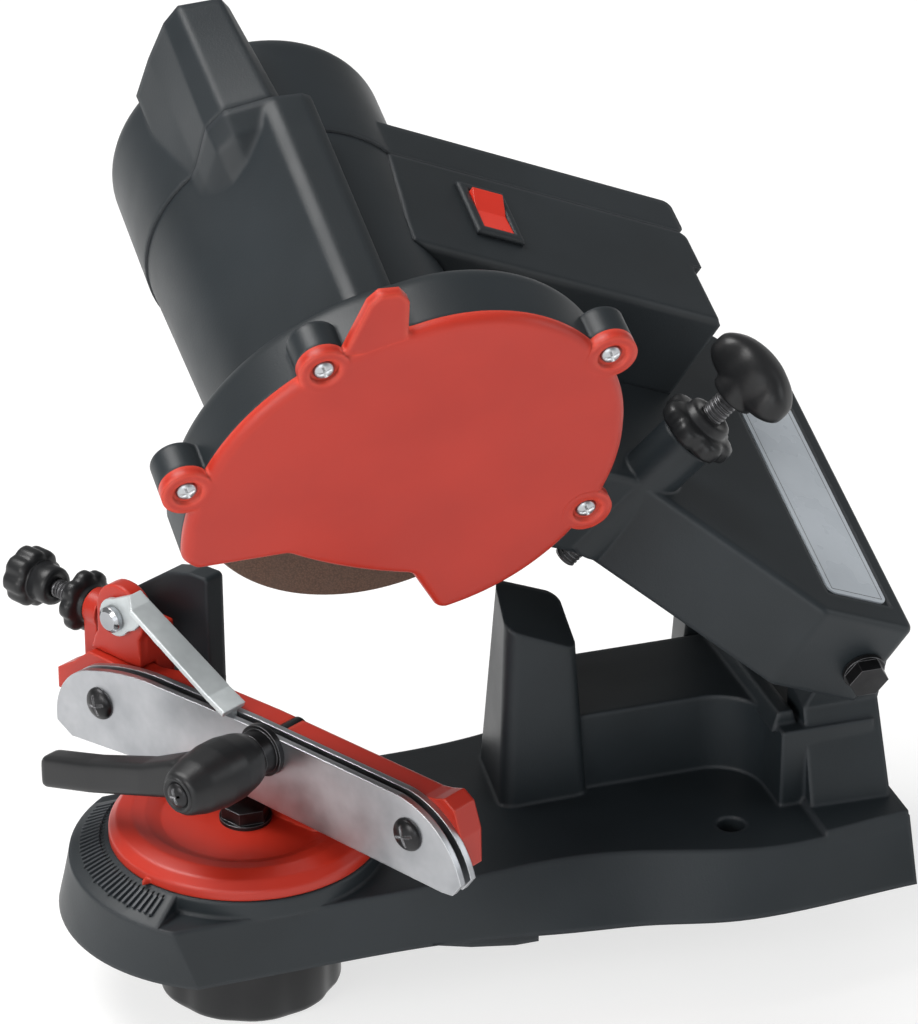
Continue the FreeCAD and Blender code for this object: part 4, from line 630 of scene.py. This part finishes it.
adjustKnob = {"lobes": 8, "dent": 0.85, "bore": 3.05, "deep": 3.0,
              "profile": [(0, 6.0, 0), (0.05, 7.4, 0.5), (0.5, 8.5, 0.8), (1.3, 9.3, 1), (2.2, 9.5, 1),
                          (6.8, 9.5, 1), (7.9, 9.2, 1), (8.6, 8.5, 0.8), (8.95, 7.4, 0.4), (9.0, 6.1, 0),
                          (9.2, 6.5, 0), (15.0, 6.2, 0), (15.9, 5.8, 0), (16.2, 4.8, 0)]}
starKnob("pawl_knob", onPawlScrew(-114), viseAcross, upward, adjustKnob, "adjust_screw_body",
         ["adjust_knob"])
lockNut = {"lobes": 8, "dent": 0.95, "bore": 3.1, "deep": 2.0,
           "profile": [(0, 4.0, 0), (0.05, 7.6, 0.4), (0.5, 8.9, 0.8), (1.2, 9.8, 1), (1.8, 10.0, 1),
                       (3.6, 10.0, 1), (4.4, 9.7, 1), (5.0, 8.9, 0.8), (5.35, 7.7, 0.4), (5.4, 6.5, 0),
                       (5.6, 6.1, 0), (6.8, 5.9, 0), (7.1, 5.5, 0)]}
starKnob("pawl_lock_nut", onPawlScrew(-88), viseAcross, upward, lockNut, "lock_nut_body",
         ["lock_nut_knob"])
stopNut = {"lobes": 7, "dent": 1.7, "bore": 3.85, "deep": 2.0,
           "profile": [(0, 7.0, 0), (0.05, 9.6, 0.5), (0.5, 11.0, 0.9), (1.4, 12.2, 1), (2.2, 12.5, 1),
                       (4.9, 12.5, 1), (5.9, 12.1, 1), (6.6, 11.0, 0.8), (6.95, 9.3, 0.3), (7.0, 8.2, 0),
                       (7.3, 7.6, 0), (9.3, 7.4, 0), (9.8, 7.0, 0), (10.0, 6.2, 0)]}
starKnob("stop_lock_nut", onRod(56), rodAxis, wheelAxis, stopNut, "head", ["depth_lock_nut"])


def wingKnob(look):
    lean = math.radians(look["turn"])
    wing = wheelAxis * math.cos(lean) + rodSide * math.sin(lean)
    thin = rodAxis.cross(wing)
    rings = []
    steps = 40
    for k in range(steps + 1):
        part = -math.cos(math.pi * k / steps)  # closer together at the ends
        fade = max(1 - abs(part) ** 3.2, 0.0) ** (1 / 2.2)  # from 1 in the middle to 0 at the tips
        waist = look["waist"] * math.exp(-((abs(part) - 0.42) / 0.2) ** 2)
        half = max((look["thick"] - waist) * fade, 0.02)
        low = look["low"] + look["rise"] * part * part
        high = look["high"] - look["crown"] * part * part
        tall = max((high - low) / 2 * (0.25 + 0.75 * fade), 0.02)
        middle = onRod((low + high) / 2) + wing * (part * look["reach"] * mm)
        rings.append(roundedRing(middle, half, tall, thin, rodAxis, 2.8))
    hub = [circleRing(onRod(at), radius, wheelAxis, rodSide, 48) for at, radius in look["hub"]]
    mesh = fused(ringMesh("wing", [rings, hub]), 0.5, 5)
    newPiece("stop_wing_knob", mesh, knobPlastic, "depth_knob_body", ["depth_knob"])


wingKnob({"turn": 27, "reach": 15.6, "thick": 7.4, "waist": 0.9, "low": 75.8, "high": 92.2, "rise": 1.2,
          "crown": 3.6, "hub": [(74.2, 5.0), (74.25, 6.6), (74.8, 7.3), (78, 7.4), (84, 7.2)]})
print("knobs made")


def clampLever(look):
    arm = [roundedRing(inVise(s, y, z), halfY, halfZ, viseInto, upward, 5.0)
           for s, y, z, halfY, halfZ in look["arm"]]
    hub = [roundedRing(onLeverHub(at), radius, radius, viseAcross, upward, look["square"], 64)
           for at, radius in look["hub"]]
    mesh = fused(ringMesh("lever", [arm, hub]), 0.5, 6)
    newPiece("clamp_handle", mesh, knobPlastic, "clamp_lever_body", ["clamp_lever"])
    cup = [circleRing(onLeverHub(at), radius, viseAcross, upward, 48) for at, radius in look["cup"]]
    newPiece("clamp_cup", ringMesh("cup", [cup]), knobPlastic, "clamp_lever_body", [])


clampLever({"arm": [(-50.4, -33.0, 42.0, 2.6, 3.6), (-50.0, -33.0, 42.0, 3.9, 5.1),
                    (-48.5, -33.0, 42.3, 4.2, 5.5), (-30, -32.6, 47.6, 4.4, 5.5),
                    (-8, -31.6, 55.0, 4.9, 5.6), (4, -30.0, 59.6, 5.6, 6.6), (11, -29.0, 61.0, 5.6, 6.6)],
            "hub": [(0.2, 4.4), (0.3, 5.9), (1.2, 6.7), (7, 8.5), (15, 9.7), (21, 9.6), (27, 8.5),
                    (30.0, 7.4), (30.1, 6.4)],
            "square": 2.35,
            "cup": [(0.2, 4.4), (-0.25, 4.7), (-0.35, 5.2), (-0.1, 5.6), (0.6, 5.7), (1.6, 5.3), (1.6, 4.4)]})
leverScrew = {"head": 4.1, "height": 1.9, "shank": 1.9, "length": 3.5, "recess": 0.55}
screwSet("handle_screw", [onLeverHub(0.4)], -viseInto, leverScrew, blackSteel, "clamp_lever_body",
         ["lever_screw"])

softShapes = {
    "pawl_carriage": {"node": "pawl_slider", "body": "pawl_slide_body", "finish": redPlastic,
                      "slot": "red_plastic", "voxel": 0.45, "soft": 7},
    "pawl_strip": {"node": "pawl", "body": "pawl_body", "finish": stripSteel, "slot": "zinc_steel",
                   "voxel": 0.28, "soft": 4},
}
for name, look in softShapes.items():
    newPiece(name, fused(mergedCopy(look["node"]), look["voxel"], look["soft"]), look["finish"],
             look["body"], [look["node"]])


def lockingKnob(look):
    rings = [circleRing(inVise(0, 0, at), radius, viseAcross, viseInto, 160, look["flutes"],
                        look["dent"] * share) for at, radius, share in look["profile"]]
    newPiece("turntable_knob", ringMesh("turntable_knob", [rings]), knobPlastic, "lock_knob_body",
             ["lock_knob"])


lockingKnob({"flutes": 10, "dent": 0.9,
             "profile": [(-26.6, 22.8, 0), (-26.58, 25.0, 0), (-26.2, 26.8, 0.5), (-25.2, 27.8, 1),
                         (-23.8, 28.3, 1), (-8.0, 28.3, 1), (-6.0, 27.8, 1), (-4.6, 26.7, 0.6),
                         (-3.5, 24.8, 0.2), (-2.7, 21.8, 0), (-2.4, 17.0, 0), (-1.9, 15.2, 0),
                         (-0.6, 15.0, 0), (-0.35, 14.4, 0)]})
print("handles made")


def labelSheet(look):
    # a blank rounded label with a map of its own, which carries the printed border
    build = bmesh.new()
    ring = []
    halfA, halfU, corner = look["halfA"], look["halfU"], look["corner"]
    cornerSteps = 8
    for cornerA, cornerU, start in ((1, 1, 0), (-1, 1, 90), (-1, -1, 180), (1, -1, 270)):
        for k in range(cornerSteps + 1):
            angle = math.radians(start + 90 * k / cornerSteps)
            ring.append((cornerA * (halfA - corner) + corner * math.cos(angle),
                         cornerU * (halfU - corner) + corner * math.sin(angle)))
    midA, midU = look["middle"]
    top, low = ([build.verts.new(inArm(midA + a, midU + u, m)) for a, u in ring]
                for m in (look["top"], look["top"] - look["thick"]))
    build.faces.new(top)
    build.faces.new(low)
    for k in range(len(ring)):
        build.faces.new((top[k], top[(k + 1) % len(ring)], low[(k + 1) % len(ring)], low[k]))
    bmesh.ops.recalc_face_normals(build, faces=build.faces)
    layer = build.loops.layers.uv.new("label")
    for face in build.faces:
        for loop in face.loops:
            index = top.index(loop.vert) if loop.vert in top else low.index(loop.vert)
            loop[layer].uv = (ring[index][0] * mm, ring[index][1] * mm)
    newPiece("label_sheet", meshOf(build, "label_sheet"), printedLabel(look), "head", ["label_plate"],
             smooth=False)


def printedLabel(look):
    mat, tree, shader = startMaterial("blank label film")
    place = firstOf(tree, "ShaderNodeUVMap", uv_map="label")
    split = addNode(tree, "ShaderNodeSeparateXYZ", {"Vector": place}).outputs
    fromSides = [maths(tree, "SUBTRACT", half * mm, maths(tree, "ABSOLUTE", split[axis]))
                 for axis, half in (("X", look["halfA"]), ("Y", look["halfU"]))]
    nearest = maths(tree, "MINIMUM", *fromSides)
    ramp = addNode(tree, "ShaderNodeValToRGB", {"Fac": mapped(tree, nearest, 0.0, 5 * mm)})
    ramp.color_ramp.interpolation = "CONSTANT"
    stops = ramp.color_ramp.elements
    stops[0].position, stops[0].color = 0.0, (0, 0, 0, 1)
    stops[1].position, stops[1].color = 0.30, (1, 1, 1, 1)
    last = stops.new(0.36)
    last.color = (0, 0, 0, 1)
    cloud = noise(tree, objectCoords(tree), 60.0, 3.0)
    film = mixed(tree, mapped(tree, cloud, 0.3, 0.7), (0.46, 0.50, 0.54), (0.52, 0.56, 0.60))
    ripple = noise(tree, objectCoords(tree), 220.0, 2.0)
    fill(tree, shader, {"Base Color": mixed(tree, ramp.outputs["Color"], film, (0.12, 0.125, 0.13)),
                        "Roughness": mapped(tree, cloud, 0.3, 0.7, 0.22, 0.34),
                        "Normal": bump(tree, ripple, 0.12, 0.0001)})
    return mat


labelSheet({"middle": (-42.5, 123.5), "halfA": 44.4, "halfU": 11.4, "corner": 3.0, "top": 166.95,
            "thick": 0.7})
print("label laid")


def paleFloor(height, look):
    mat, tree, shader = startMaterial("pale floor")
    tone = mixed(tree, noise(tree, objectCoords(tree), 3.0), look["near"], look["far"])
    fill(tree, shader, {"Base Color": tone, "Roughness": 0.8, "Emission Color": tone,
                        "Emission Strength": look["glow"]})
    mesh = bpy.data.meshes.new("floor")
    size = look["size"]
    mesh.from_pydata([(-size, -size, height), (size, -size, height), (size, size, height),
                      (-size, size, height)], [], [(0, 1, 2, 3)])
    mesh.materials.append(mat)
    addObject("floor", mesh)


floorGap = 0.0005
paleFloor(cadBox[0][2] - floorGap, {"near": (0.36, 0.36, 0.36), "far": (0.38, 0.38, 0.378), "size": 6.0,
                                    "glow": 1.85})


def softLight(name, look):
    lamp = bpy.data.lights.new(name, "AREA")
    lamp.shape = "RECTANGLE"
    lamp.size, lamp.size_y = look["size"]
    lamp.energy = look["power"]
    lamp.color = look["tint"]
    holder = addObject(name, lamp)
    holder.location = look["at"]
    aim = Vector(look["aim"]) - Vector(look["at"])
    holder.rotation_euler = aim.to_track_quat("-Z", "Y").to_euler()


lights = {
    "key": {"at": (-0.5, -0.75, 1.6), "aim": (0, -0.05, 0.1), "size": (0.9, 0.9), "power": 26.0,
            "tint": (1.0, 0.99, 0.98)},
    "front": {"at": (1.9, -0.9, 0.55), "aim": (0, -0.05, 0.1), "size": (1.2, 1.0), "power": 9.5,
              "tint": (0.95, 0.98, 1.0)},
    "low": {"at": (0.75, -1.5, 0.75), "aim": (0, -0.14, 0.04), "size": (0.7, 0.7), "power": 13.0,
            "tint": (1.0, 0.98, 0.96)},
    "side": {"at": (0.9, 1.6, 0.8), "aim": (0, 0, 0.12), "size": (1.0, 1.0), "power": 7.0,
             "tint": (0.95, 0.98, 1.0)},
}
for name, look in lights.items():
    softLight(name, look)

world = bpy.data.worlds.new("studio")
world.use_nodes = True
fill(world.node_tree, world.node_tree.nodes["Background"], {"Color": (1.0, 1.0, 1.0, 1.0), "Strength": 0.3})
bpy.context.scene.world = world
bpy.context.scene.view_settings.view_transform = "Standard"
bpy.context.scene.view_settings.look = "None"


def aimCamera(look):
    lens = bpy.data.cameras.new("camera")
    lens.lens = look["lens"]
    lens.sensor_width = 36.0
    lens.clip_start = 0.05
    lens.clip_end = 50.0
    camera = addObject("camera", lens)
    turn = Matrix([look[key] for key in ("right", "up", "back")]).transposed().to_4x4()
    camera.matrix_world = Matrix.Translation(look["at"]) @ turn
    bpy.context.scene.camera = camera


aimCamera({"at": (1.2087, -0.467, 0.7811), "lens": 168.75, "right": (0.3090, 0.9511, 0.0),
           "up": (-0.4391, 0.1427, 0.8870), "back": (0.8436, -0.2741, 0.4617)})
print("stage set")
